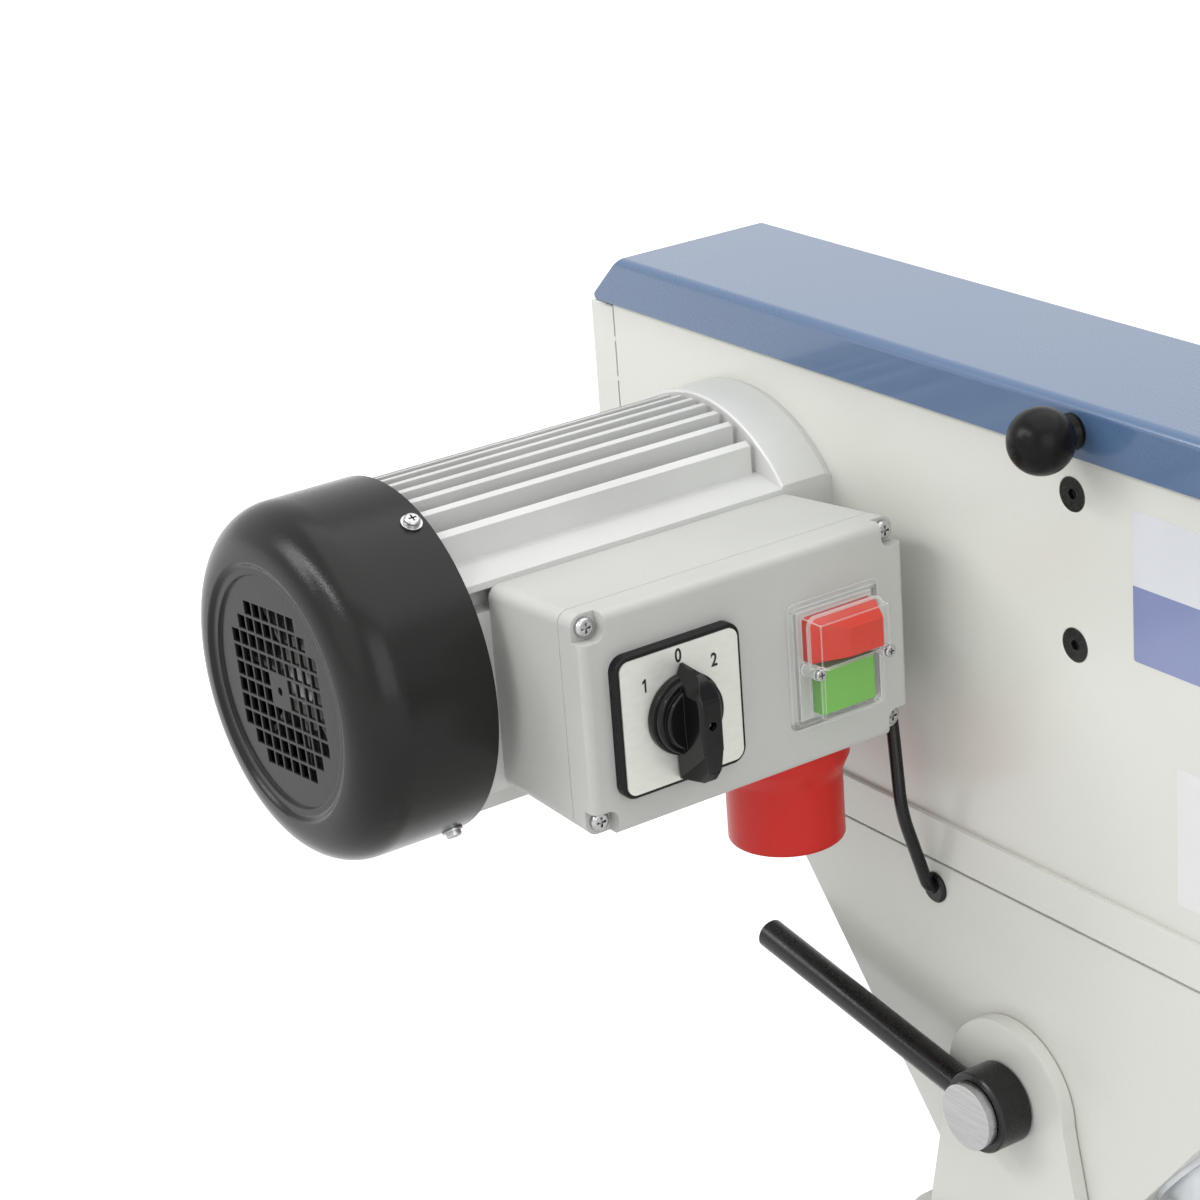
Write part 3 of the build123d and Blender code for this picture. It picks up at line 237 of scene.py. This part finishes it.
plastics = {
    "box_plastic": {"colour": (0.50, 0.505, 0.48), "grain": 1100, "depth": 0.00011, "rough": 0.46,
                    "wearAndGlintPale": 0.18, "shine": 0.4},
    "black_plastic": {"colour": (0.007, 0.007, 0.0073), "grain": 1500, "depth": 0.00004, "rough": 0.3,
                      "wearAndGlintPale": 1.6, "shine": 0.2},
    "gloss_black": {"colour": (0.005, 0.005, 0.005), "grain": 1700, "depth": 0.00001, "rough": 0.15,
                    "wearAndGlintPale": 2.5, "shine": 0.26},
    "ball_black": {"colour": (0.0052, 0.005, 0.0048), "grain": 1700, "depth": 0.00003, "rough": 0.27,
                   "wearAndGlintPale": 1.5, "shine": 0.13},
    # dark colour is painted shade, standing in for the shadow inside the cowl
    "fan_plastic": {"colour": (0.12, 0.117, 0.11), "grain": 1200, "depth": 0.00006, "rough": 0.45,
                    "wearAndGlintPale": 0.1, "shine": 0.4},
    "stop_red": {"colour": (0.62, 0.040, 0.020), "grain": 1800, "depth": 0.00002, "rough": 0.2,
                 "wearAndGlintPale": 0.9, "shine": 0.25},
    "start_green": {"colour": (0.185, 0.46, 0.10), "grain": 1800, "depth": 0.00002, "rough": 0.2,
                    "wearAndGlintPale": 0.3, "shine": 0.3},
    "inlet_red": {"colour": (0.57, 0.015, 0.010), "grain": 1400, "depth": 0.00005, "rough": 0.33,
                  "wearAndGlintPale": 0.0, "shine": 0.3, "round": 0.004},
    "black_rubber": {"colour": (0.007, 0.007, 0.0068), "grain": 1600, "depth": 0.00003, "rough": 0.3,
                     "wearAndGlintPale": 0.8, "shine": 0.28},
    "tyre_rubber": {"colour": (0.035, 0.034, 0.033), "grain": 700, "depth": 0.0002, "rough": 0.72,
                    "wearAndGlintPale": 0.9, "shine": 0.35},
}

# bare or plated metal: drawn or ground lines, a few dull patches, and painted shade in its recesses
worked = {"spread": 0.08, "rim": 0.0008, "rounding": 0.6, "lineRough": 0.12, "patchRough": 0.1,
          "paintedRecessShade": 0, "recessShadeReach": 0.0016, "recessShadeDarkness": 0.06}


def metal(name, look):
    look = worked | look
    f = Finish(name, {"Metallic": look["metallic"], "Anisotropic": look["drawn"]})
    lines = f.noise(look["lines"], detail=3, stretch=look["stretch"])
    patch = f.ramp(f.noise(scale=30, detail=4), low=0.4, high=0.75)
    shade = f.vary(f.ramp(lines), look["colour"], 1 - look["spread"], 1 + look["spread"])
    # lighter rims: partly worn metal, partly a painted edge highlight
    shade = f.mix(f.edge(look["rim"]) * look["wear"], shade, look["edgeWearAndGlintColour"])
    if look["paintedRecessShade"]:   # painted shade: darkens slots and inner corners, where shade falls
        free = f.add("ShaderNodeAmbientOcclusion", {"samples": 8}, {"Distance": look["recessShadeReach"]}, "AO")
        shadedRecess = f.ramp(1 - free, low=0.25, high=0.7)
        shade = f.mix(shadedRecess * look["paintedRecessShade"], shade, tinted(look["colour"], look["recessShadeDarkness"]))
    f.set("Base Color", shade)
    ground = f.ramp(lines, low=0.2, high=0.8)
    f.set("Roughness", look["rough"] + ground * look["lineRough"] + patch * look["patchRough"])
    f.bump(lines, look["depth"], look["rim"] * look["rounding"])
    return f.material


metals = {
    "dark_steel": {"colour": (0.010, 0.010, 0.010), "edgeWearAndGlintColour": (0.07, 0.07, 0.07), "metallic": 0.3,
                   "drawn": 0.0, "lines": 500, "stretch": (1, 1, 1), "wear": 0.6, "rough": 0.19,
                   "depth": 0.00004},
    "bright_steel": {"colour": (0.47, 0.47, 0.475), "edgeWearAndGlintColour": (0.66, 0.66, 0.67), "metallic": 1.0,
                     "drawn": 0.3, "lines": 260, "stretch": (0.15, 3, 3), "wear": 0.7, "rough": 0.2,
                     "depth": 0.00003, "paintedRecessShade": 0.9},
    "zinc_sheet": {"colour": (0.55, 0.57, 0.59), "edgeWearAndGlintColour": (0.75, 0.76, 0.78), "metallic": 0.9,
                   "drawn": 0.0, "lines": 90, "stretch": (1, 1, 1), "wear": 0.5, "rough": 0.3,
                   "depth": 0.00004},
    "wheel_aluminium": {"colour": (0.72, 0.72, 0.73), "edgeWearAndGlintColour": (0.86, 0.86, 0.87), "metallic": 1.0,
                        "drawn": 0.4, "lines": 300, "stretch": (1, 6, 1), "wear": 0.5, "rough": 0.26,
                        "depth": 0.00005},
    "plate_silver": {"colour": (0.74, 0.75, 0.69), "edgeWearAndGlintColour": (0.76, 0.76, 0.73), "metallic": 0.4,
                     "drawn": 0.0, "lines": 240, "stretch": (1, 0.6, 1.4), "wear": 0.4, "rough": 0.34,
                     "depth": 0.000004, "spread": 0.03, "rim": 0.0002},
    "pin_brass": {"colour": (0.74, 0.56, 0.28), "edgeWearAndGlintColour": (0.9, 0.76, 0.45), "metallic": 1.0,
                  "drawn": 0.2, "lines": 400, "stretch": (3, 3, 0.4), "wear": 0.5, "rough": 0.24,
                  "depth": 0.00002},
}


# coated abrasive: resin-bonded grains on cloth, with the slanted joint of the loop
def abrasive(name, look):
    f = Finish(name, {"Specular IOR Level": look["shine"]})
    grains = f.add("ShaderNodeTexVoronoi", {}, {"Vector": f.place, "Scale": look["grains"]}, "Distance")
    tone = f.ramp(f.noise(scale=40, detail=4))
    shade = f.mix(f.ramp(grains, low=0.1, high=0.7), look["grainColour"], look["resin"])
    shade = f.mix(tone * look["toneShare"], shade, tinted(look["resin"], look["toneLight"]))
    along = f.add("ShaderNodeSeparateXYZ", {}, {0: f.place}, "X")
    across = f.add("ShaderNodeSeparateXYZ", {}, {0: f.place}, "Y")
    slanted = along - across * look["slant"]
    joint = slanted.above(look["jointX"]) * slanted.below(look["jointX"] + look["jointWidth"])
    f.set("Base Color", f.mix(joint * look["jointShare"], shade, tinted(look["resin"], look["jointDark"])))
    f.set("Roughness", look["rough"] + f.ramp(grains, low=0.0, high=0.6) * look["grainRough"])
    f.bump(1 - grains, look["depth"])
    return f.material


belts = {
    "belt_abrasive": {"grainColour": (0.33, 0.16, 0.10), "resin": (0.17, 0.065, 0.04), "grains": 1100,
                      "toneShare": 0.35, "toneLight": 1.5, "jointX": 0.15, "jointWidth": 0.004,
                      "slant": 0.6, "jointShare": 0.6, "jointDark": 0.4, "shine": 0.35, "rough": 0.7,
                      "grainRough": 0.2, "depth": 0.0004},
}

# clear sheet or moulding with a little haze; more opaque at its screw posts, and at its rims and grazing
# angles as painted edge light and painted reflection
sheet = {"ior": 1.49, "shine": 0.6, "edge": 0.0014, "slant": 0.26, "post": 0.4, "hazeRough": 0.07,
         "depth": 0.00008, "round": 0.0006}


def clear(name, look):
    look = sheet | look
    f = Finish(name, {"IOR": look["ior"], "Specular IOR Level": look["shine"]})
    haze = f.ramp(f.noise(scale=60, detail=4), low=0.35, high=0.8)
    rim = f.edge(look["edge"])
    slant = f.add("ShaderNodeLayerWeight", {}, {"Blend": 0.35}, "Facing")
    flat = f.add("ShaderNodeVectorMath", {"operation": "MULTIPLY"}, {0: f.place, 1: (0, 1, 1)})
    posts = 0
    for y, z in look["posts"]:
        gap = f.add("ShaderNodeVectorMath", {"operation": "DISTANCE"}, {0: flat, 1: (0, y, z)}, "Value")
        posts = gap.below(look["postRadius"]) + posts
    # painted edge light: rims take their own colour and, with grazing angles, more opacity, standing in for
    # light and shade at the sheet's edges and its grazing reflection
    f.set("Base Color", f.mix(rim, look["colour"], look["paintedRimColour"]))
    f.set("Alpha", look["body"] + haze * look["haze"] + rim * look["rim"] + slant ** 3 * look["slant"]
          + posts * look["post"])
    f.set("Roughness", look["rough"] + haze * look["hazeRough"])
    f.bump(f.noise(scale=120), look["depth"], look["round"])
    return f.material


covers = {
    "clear_plastic": {"colour": (0.80, 0.82, 0.82), "paintedRimColour": (0.97, 0.98, 0.98), "rough": 0.04,
                      "body": 0.01, "haze": 0.01, "rim": 0.55, "postRadius": 0.0036,
                      "posts": ((-0.1301, 0.8992), (-0.0887, 0.8992))},
    "shield_clear": {"colour": (0.34, 0.40, 0.42), "paintedRimColour": (0.24, 0.32, 0.34), "rough": 0.06,
                     "body": 0.12, "haze": 0.05, "rim": 0.5, "posts": ()},
}

finishes = {}
for maker, table in ((paint, paints), (castPaint, castings), (moulded, plastics), (metal, metals),
                     (abrasive, belts), (clear, covers)):
    for name, look in table.items():
        finishes[name] = maker(name, look)

# polished by hand, moulded glossier, and cut from smoky sheet
handled = {"lid_knob": "ball_black", "speed_knob": "gloss_black", "eye_shield": "shield_clear"}
for part in frame["record"]["subparts"]:
    slots = nodes[part["node"]].data.materials
    slots.clear()
    slots.append(finishes[handled.get(part["node"], part["material_slot"])])
print("finishes:", len(finishes))


# mesh helpers
def piece(name, mesh, body, material):
    obj = bpy.data.objects.new(name, mesh)
    bpy.context.scene.collection.objects.link(obj)
    mesh.materials.append(material)
    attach(obj, body)
    return obj


def facing(across, up, origin):
    across, up = Vector(across), Vector(up)
    rows = Matrix((across, up, across.cross(up))).transposed().to_4x4()
    return Matrix.Translation(origin) @ rows


def roundedLoop(width, height, radius, steps=8):
    loop = []
    for quarter, (sx, sy) in enumerate(((1, 1), (-1, 1), (-1, -1), (1, -1))):
        for step in range(steps + 1):
            a = math.radians(90 * (quarter + step / steps))
            loop.append((sx * (width / 2 - radius) + radius * math.cos(a),
                         sy * (height / 2 - radius) + radius * math.sin(a)))
    return loop


# a closed skin over rings of equal length, with a face on each end
def skin(bm, rings):
    for low, high in zip(rings, rings[1:]):
        for i in range(len(low)):
            j = (i + 1) % len(low)
            bm.faces.new((low[i], low[j], high[j], high[i]))
    bm.faces.new(rings[0])
    bm.faces.new(rings[-1])


def skinMesh(bm, name, smooth=False):
    bmesh.ops.recalc_face_normals(bm, faces=bm.faces)
    for faceItem in bm.faces:
        faceItem.smooth = smooth
    mesh = bpy.data.meshes.new(name)
    bm.to_mesh(mesh)
    bm.free()
    return mesh


def thinPlate(name, outline, thickness, place):
    bm = bmesh.new()
    skin(bm, [[bm.verts.new((x, y, depth)) for x, y in outline] for depth in (0.0, thickness)])
    bm.transform(place)
    return skinMesh(bm, name)


# printed foil: flat colour field with a second one under a straight line
def printed(name, look):
    f = Finish(name, {"Coat Weight": 0.4, "Coat Roughness": 0.1})
    height = f.add("ShaderNodeSeparateXYZ", {}, {0: f.place}, "Z")
    drift = f.ramp(f.noise(scale=20, detail=3))
    upper = f.vary(drift, look["upper"], dark=0.97, light=1.02)
    lower = f.vary(drift, look["lower"], dark=0.95, light=1.04)
    f.set("Base Color", f.mix(height.below(look["splitZ"]), upper, lower))
    f.set("Roughness", look["rough"] + drift * 0.05)
    f.bump(f.noise(scale=500), depth=0.00002)
    return f.material


# bare foil plates on the near wall
foilCorner, foilPly = 0.0015, 0.0003
foils = {
    "wide_foil": {"x": (0.085, 0.288), "z": (0.9168, 0.9876), "splitZ": 0.9528,
                  "upper": (0.65, 0.67, 0.71), "lower": (0.20, 0.235, 0.43), "rough": 0.3},
    "low_foil": {"x": (0.1115, 0.2615), "z": (0.8059, 0.8734), "splitZ": 0.0,
                 "upper": (0.70, 0.70, 0.70), "lower": (0.70, 0.70, 0.70), "rough": 0.3},
}
for name, look in foils.items():
    (x0, x1), (z0, z1) = look["x"], look["z"]
    spot = facing((1, 0, 0), (0, 0, 1), ((x0 + x1) / 2, nearY, (z0 + z1) / 2))
    mesh = thinPlate(name, roundedLoop(x1 - x0, z1 - z0, foilCorner), foilPly, spot)
    piece(name, mesh, "head", printed(name, look))
print("foil plates:", len(foils))

# dial print
dial = {"y": nearY - 0.1574, "z": 0.9006, "front": -0.041, "lift": 0.0001, "size": 0.0092,
        "ink": (0.006, 0.006, 0.0065), "narrow": 0.78, "bold": 0.00018, "ply": 0.00008,
        "numbers": {"1": (-0.0195, 0.0187), "0": (-0.0006, 0.0276), "2": (0.0189, 0.0198)},
        "one": ((-0.045, -0.35), (0.075, -0.35), (0.075, 0.35), (-0.02, 0.35), (-0.2, 0.22), (-0.2, 0.1),
                (-0.045, 0.19))}


def ink(name, colour):
    f = Finish(name, {"Specular IOR Level": 0.4})
    wear = f.ramp(f.noise(scale=700), low=0.3, high=0.8)
    f.set("Base Color", f.vary(wear, colour, dark=1.0, light=2.0))
    f.set("Roughness", 0.35 + wear * 0.15)
    f.bump(f.noise(scale=900, detail=1), depth=0.00001)
    return f.material


dialInk = ink("dial_ink", dial["ink"])
for text, (y, z) in dial["numbers"].items():
    place = facing((0, 1, 0), (0, 0, 1), (dial["front"] + dial["lift"], dial["y"] + y, dial["z"] + z))
    place = place @ Matrix.Diagonal((dial["narrow"], 1, 1, 1))
    if text == "1":   # the stock font has a bare stroke here
        outline = [(x * dial["size"], up * dial["size"]) for x, up in dial["one"]]
        low = Matrix.Translation((0, 0, -dial["ply"]))
        mesh = thinPlate("dial_number_1", outline, 2 * dial["ply"], place @ low)
    else:
        curve = bpy.data.curves.new("number_" + text, "FONT")
        curve.body = text
        curve.size = dial["size"]
        curve.align_x = "CENTER"
        curve.align_y = "CENTER"
        curve.extrude = dial["ply"]
        curve.offset = dial["bold"]
        lettering = bpy.data.objects.new("number_source_" + text, curve)
        mesh = bpy.data.meshes.new_from_object(lettering)
        mesh.name = "dial_number_" + text
        bpy.data.objects.remove(lettering)
        mesh.transform(place)
    piece("dial_number_" + text, mesh, "head", dialInk)
print("dial printed")

# belt tension spring, its end curls drawn together
spring = {"start": contactX - 0.138, "end": contactX - 0.070, "y": nearY - 0.0155, "z": axisZ,
          "radius": 0.008, "wire": 0.0013, "curls": 8, "closing": 0.035, "steps": 36, "sides": 12}


def coil(look):
    total = look["curls"] * look["steps"]
    free = look["end"] - look["start"] - 2 * look["wire"]
    line = []
    for n in range(total + 1):
        share = n / total
        eased = share - math.sin(2 * math.pi * share) * look["closing"]
        a = 2 * math.pi * look["curls"] * share
        line.append(Vector((look["start"] + look["wire"] + free * eased,
                            look["y"] + look["radius"] * math.cos(a),
                            look["z"] + look["radius"] * math.sin(a))))
    bm = bmesh.new()
    turns = [2 * math.pi * k / look["sides"] for k in range(look["sides"])]
    rings = []
    for n, spot in enumerate(line):
        ahead = (line[min(n + 1, total)] - line[max(n - 1, 0)]).normalized()
        outward = Vector((0, spot.y - look["y"], spot.z - look["z"])).normalized()
        third = ahead.cross(outward).normalized()
        outward = third.cross(ahead)
        rings.append([bm.verts.new(spot + look["wire"] * (outward * math.cos(t) + third * math.sin(t)))
                      for t in turns])
    skin(bm, rings)
    return skinMesh(bm, "belt_spring", smooth=True)


beltSpring = piece("belt_spring", coil(spring), "head", finishes["bright_steel"])
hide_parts("tension_spring")
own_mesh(beltSpring)
print("spring wound")

# socket screws on dial knob, hinges, hood, rest and guide rails
farY = -nearY
hingeX = (motorX - 0.04, motorX + 0.23, motorX + 0.44)
hingeZ = (axisZ - 0.085, axisZ + 0.04)
seamX = motorX - 0.1139
nearPair, farPair = (0.006, 0.017), (0.029, 0.040)
backward = ((0, 0, 1), (1, 0, 0))
forward = ((1, 0, 0), (0, 0, 1))
sideways = ((0, 1, 0), (0, 0, 1))
screws = {
    "knob_screw": {"body": "knob", "radius": 0.0019, "rise": 0.0034, "look": sideways,
                   "steel": "bright_steel", "spots": [(-0.0246, dial["y"], dial["z"])]},
    "leaf_screws": {"body": "head", "radius": 0.0026, "rise": 0.0013, "look": backward,
                    "spots": [(x - step, farY + 0.005, 0.9957) for x in hingeX for step in nearPair]
                    + [(seamX - 0.0085, farY + 0.004, z + step) for z in hingeZ for step in nearPair]},
    "door_screws": {"body": "door", "radius": 0.0026, "rise": 0.0013, "look": backward,
                    "spots": [(seamX + 0.0085, farY + 0.002, z + step) for z in hingeZ for step in farPair]},
    "lid_screws": {"body": "lid_assembly", "radius": 0.0026, "rise": 0.0013, "look": backward,
                   "spots": [(x - step, farY + 0.006, 1.0127) for x in hingeX for step in farPair]},
    "hood_screws": {"body": "head", "radius": 0.0045, "rise": 0.0026, "look": forward,
                    "spots": [(x, nearY - 0.0025, 0.9975) for x in (0.346, 0.408, 0.470)]},
    "rest_screws": {"body": "head", "radius": 0.0068, "rise": 0.0042, "look": forward,
                    "spots": [(contactX + x, nearY - 0.0105, 0.7795) for x in (-0.083, -0.045)]},
    "guide_screws": {"body": "head", "radius": 0.0036, "rise": 0.0016, "look": forward,
                     "spots": [(contactX + x, nearY - 0.0128, axisZ + z) for x in (-0.084, -0.060, 0.032)
                               for z in (-0.0403, 0.0403)]},
}

# one head in shares of its radius and rise: profile from rim to top, then the hexagon socket
screwHead = {"profile": ((1, 0), (1, 0.35), (0.93, 0.72), (0.74, 0.95), (0.56, 1)), "socket": 0.42,
             "socketFloor": 0.35, "sides": 24}


def screwHeads(name, look, form):
    bm = bmesh.new()
    turns = [2 * math.pi * n / form["sides"] for n in range(form["sides"])]
    flat = math.pi / 3
    socket = [form["socket"] * math.cos(flat / 2) / math.cos(a % flat - flat / 2) for a in turns]
    outlines = [([reach] * form["sides"], height) for reach, height in form["profile"]]
    outlines += [(socket, 1), (socket, form["socketFloor"])]
    for spot in look["spots"]:
        place = facing(*look["look"], spot)
        rings = []
        for reaches, height in outlines:
            rings.append([bm.verts.new(place @ Vector((look["radius"] * reach * math.cos(a),
                                                       look["radius"] * reach * math.sin(a),
                                                       look["rise"] * height)))
                          for reach, a in zip(reaches, turns)])
        skin(bm, rings)
    return skinMesh(bm, name)


for name, look in screws.items():
    steel = look.get("steel", "dark_steel")
    piece(name, screwHeads(name, look, screwHead), look["body"], finishes[steel])
print("screw heads:", sum(len(look["spots"]) for look in screws.values()))

# fillet welds of the stand, laid in short ripples
welds = {"leg": 0.0052, "ripple": 0.0034, "swell": 0.16, "wobble": 0.06, "wave": 310, "hollow": 0.26,
         "sink": 0.0002, "root": 0.0012, "step": 0.0011, "sides": 5, "base": 0.012,
         "foot": (0.224, 0.184, 0.018), "footSteps": 16, "ribs": ((0.112, 0.215), (0.092, 0.17)),
         "ribGap": 0.005, "ribHalf": 0.004, "cap": 0.5676, "cheek": 0.0555, "cheekFoot": 0.060}


def weldLines(look):
    loop = roundedLoop(*look["foot"], look["footSteps"])
    lines = [[Vector((x, y, look["base"])) for x, y in loop + loop[:1]]]
    for axis, (start, end) in enumerate(look["ribs"]):
        for way in (-1, 1):
            for flank in (-1, 1):
                ends = []
                for run in (start + look["ribGap"], end):
                    spot = [0, 0, look["base"]]
                    spot[axis] = way * run
                    spot[1 - axis] = flank * look["ribHalf"]
                    ends.append(Vector(spot))
                lines.append(ends if way * flank * (1 - 2 * axis) > 0 else ends[::-1])
    for way in (-1, 1):
        lines.append([Vector((way * end * look["cheekFoot"], way * look["cheek"], look["cap"]))
                      for end in (1, -1)])
    return lines


def weldMesh(name, look):
    up = Vector((0, 0, 1))
    bm = bmesh.new()
    for line in weldLines(look):
        spots, run = [], 0.0
        for start, end in zip(line, line[1:]):
            length = (end - start).length
            count = max(1, round(length / look["step"]))
            side = (end - start).normalized().cross(up)
            for n in range(count):
                spots.append((start.lerp(end, n / count), side, run + length * n / count))
            run += length
        spots.append((line[-1], side, run))
        rings = []
        for spot, side, at in spots:
            ripple = look["swell"] * abs(math.sin(math.pi * at / look["ripple"]))
            leg = look["leg"] * (1 + ripple + look["wobble"] * math.sin(at * look["wave"]))
            ring = []
            for k in range(look["sides"] + 1):
                a = math.radians(90 * k / look["sides"])
                reach = leg * (1 - look["hollow"] + look["hollow"] * abs(math.cos(2 * a)))
                ring.append(bm.verts.new(spot + side * (reach * math.cos(a) - look["sink"])
                                         + up * (reach * math.sin(a) - look["sink"])))
            ring.append(bm.verts.new(spot - side * look["root"] - up * look["sink"]))
            rings.append(ring)
        skin(bm, rings)
    return skinMesh(bm, name, smooth=True)


piece("stand_welds", weldMesh("stand_welds", welds), "stand", finishes["stand_paint"])
print("welds laid")

# floor, light and camera; a lamp is its place, size and power
studio = {"floor": 0.80, "floorHalf": 30, "sweep": (-0.6, 0.8, 0), "sweepStart": (0.1, 0.75),
          "nearGlow": 0.42, "farGlow": 1.0, "sweepRun": (1.0, 4.5),
          "frontGlow": 0.0, "frontFar": 0.95, "frontRun": (0.7, 4.2), "fillWorld": 0.52,
          "lamps": {"key": ((-1.5, -2.2, 2.3), (1.0, 1.0), 20), "fill": ((2.4, -0.8, 1.9), (1.8, 1.8), 18),
                    "front": ((0.3, -2.5, 1.9), (1.8, 1.8), 6), "top": ((0.1, 0.3, 3.1), (3.2, 3.2), 42),
                    "strip": ((-0.45, -2.15, 2.65), (1.5, 0.15), 17)},
          "aim": (-0.1, -0.1, 0.9)}
camera = {"place": (1.0407, -0.9455, 1.4724), "azimuth": 56.986, "elevation": 21.42, "roll": -4.527,
          "lens": 95.14, "sensor": 36, "far": 100}


def studioFloor(look):
    bm = bmesh.new()
    bmesh.ops.create_grid(bm, x_segments=8, y_segments=8, size=look["floorHalf"])
    mesh = bpy.data.meshes.new("floor")
    bm.to_mesh(mesh)
    bm.free()
    floor = bpy.data.objects.new("floor", mesh)
    bpy.context.scene.collection.objects.link(floor)
    f = Finish("floor_white", {"Roughness": 0.9, "Specular IOR Level": 0.1, "Emission Strength": 1})
    mottle = f.ramp(f.noise(scale=3, detail=3))
    f.set("Base Color", f.vary(mottle, (look["floor"],) * 3, dark=1.0, light=1.03))
    seen = f.add("ShaderNodeLightPath", {}, {}, "Is Camera Ray")
    mirrored = f.add("ShaderNodeLightPath", {}, {}, "Is Glossy Ray")
    through = f.add("ShaderNodeLightPath", {}, {}, "Is Transmission Ray")
    away = f.add("ShaderNodeVectorMath", {"operation": "LENGTH"}, {0: f.place}, "Value")
    behind = f.add("ShaderNodeVectorMath", {"operation": "DOT_PRODUCT"},
                   {0: f.place, 1: look["sweep"]}, "Value")
    # the sweep behind the machine is white, the floor before it only far off
    sweep = f.mix(f.ramp(away, *look["sweepRun"]), (look["nearGlow"],) * 3, (look["farGlow"],) * 3)
    front = f.mix(f.ramp(away, *look["frontRun"]), (look["frontGlow"],) * 3, (look["frontFar"],) * 3)
    glow = f.mix(f.ramp(behind, *look["sweepStart"]), front, sweep)
    f.set("Emission Color", f.mix(seen + mirrored + through, (0, 0, 0), glow))
    mesh.materials.append(f.material)


def studioWorld(look):
    world = bpy.data.worlds.new("studio")
    world.use_nodes = True
    bpy.context.scene.world = world
    tree = world.node_tree
    tree.nodes.clear()
    output = tree.nodes.new("ShaderNodeOutputWorld")
    background = tree.nodes.new("ShaderNodeBackground")
    paths = tree.nodes.new("ShaderNodeLightPath")
    seen = Sock(paths.outputs["Is Camera Ray"]) + Sock(paths.outputs["Is Glossy Ray"])
    seen = seen + Sock(paths.outputs["Is Transmission Ray"])
    background.inputs["Color"].default_value = (1, 1, 1, 1)
    feed(background.inputs["Strength"], look["fillWorld"] + seen.above(0.5) * (1 - look["fillWorld"]))
    tree.links.new(background.outputs[0], output.inputs["Surface"])


def studioLamps(look):
    for name, (place, size, power) in look["lamps"].items():
        data = bpy.data.lights.new(name, "AREA")
        data.shape = "RECTANGLE"
        data.size, data.size_y = size
        data.energy = power
        lamp = bpy.data.objects.new(name, data)
        bpy.context.scene.collection.objects.link(lamp)
        lamp.location = place
        lamp.rotation_euler = (Vector(look["aim"]) - Vector(place)).to_track_quat("-Z", "Y").to_euler()


def studioCamera(look):
    data = bpy.data.cameras.new("camera")
    data.sensor_width = look["sensor"]
    data.sensor_fit = "HORIZONTAL"
    data.lens = look["lens"]
    data.clip_end = look["far"]
    view = bpy.data.objects.new("camera", data)
    bpy.context.scene.collection.objects.link(view)
    view.matrix_world = (Matrix.Translation(look["place"])
                         @ Matrix.Rotation(math.radians(look["azimuth"]), 4, "Z")
                         @ Matrix.Rotation(math.radians(90 - look["elevation"]), 4, "X")
                         @ Matrix.Rotation(math.radians(look["roll"]), 4, "Z"))
    bpy.context.scene.camera = view


studioFloor(studio)
studioWorld(studio)
studioLamps(studio)
studioCamera(camera)
bpy.context.scene.view_settings.view_transform = "Standard"
print("studio ready")
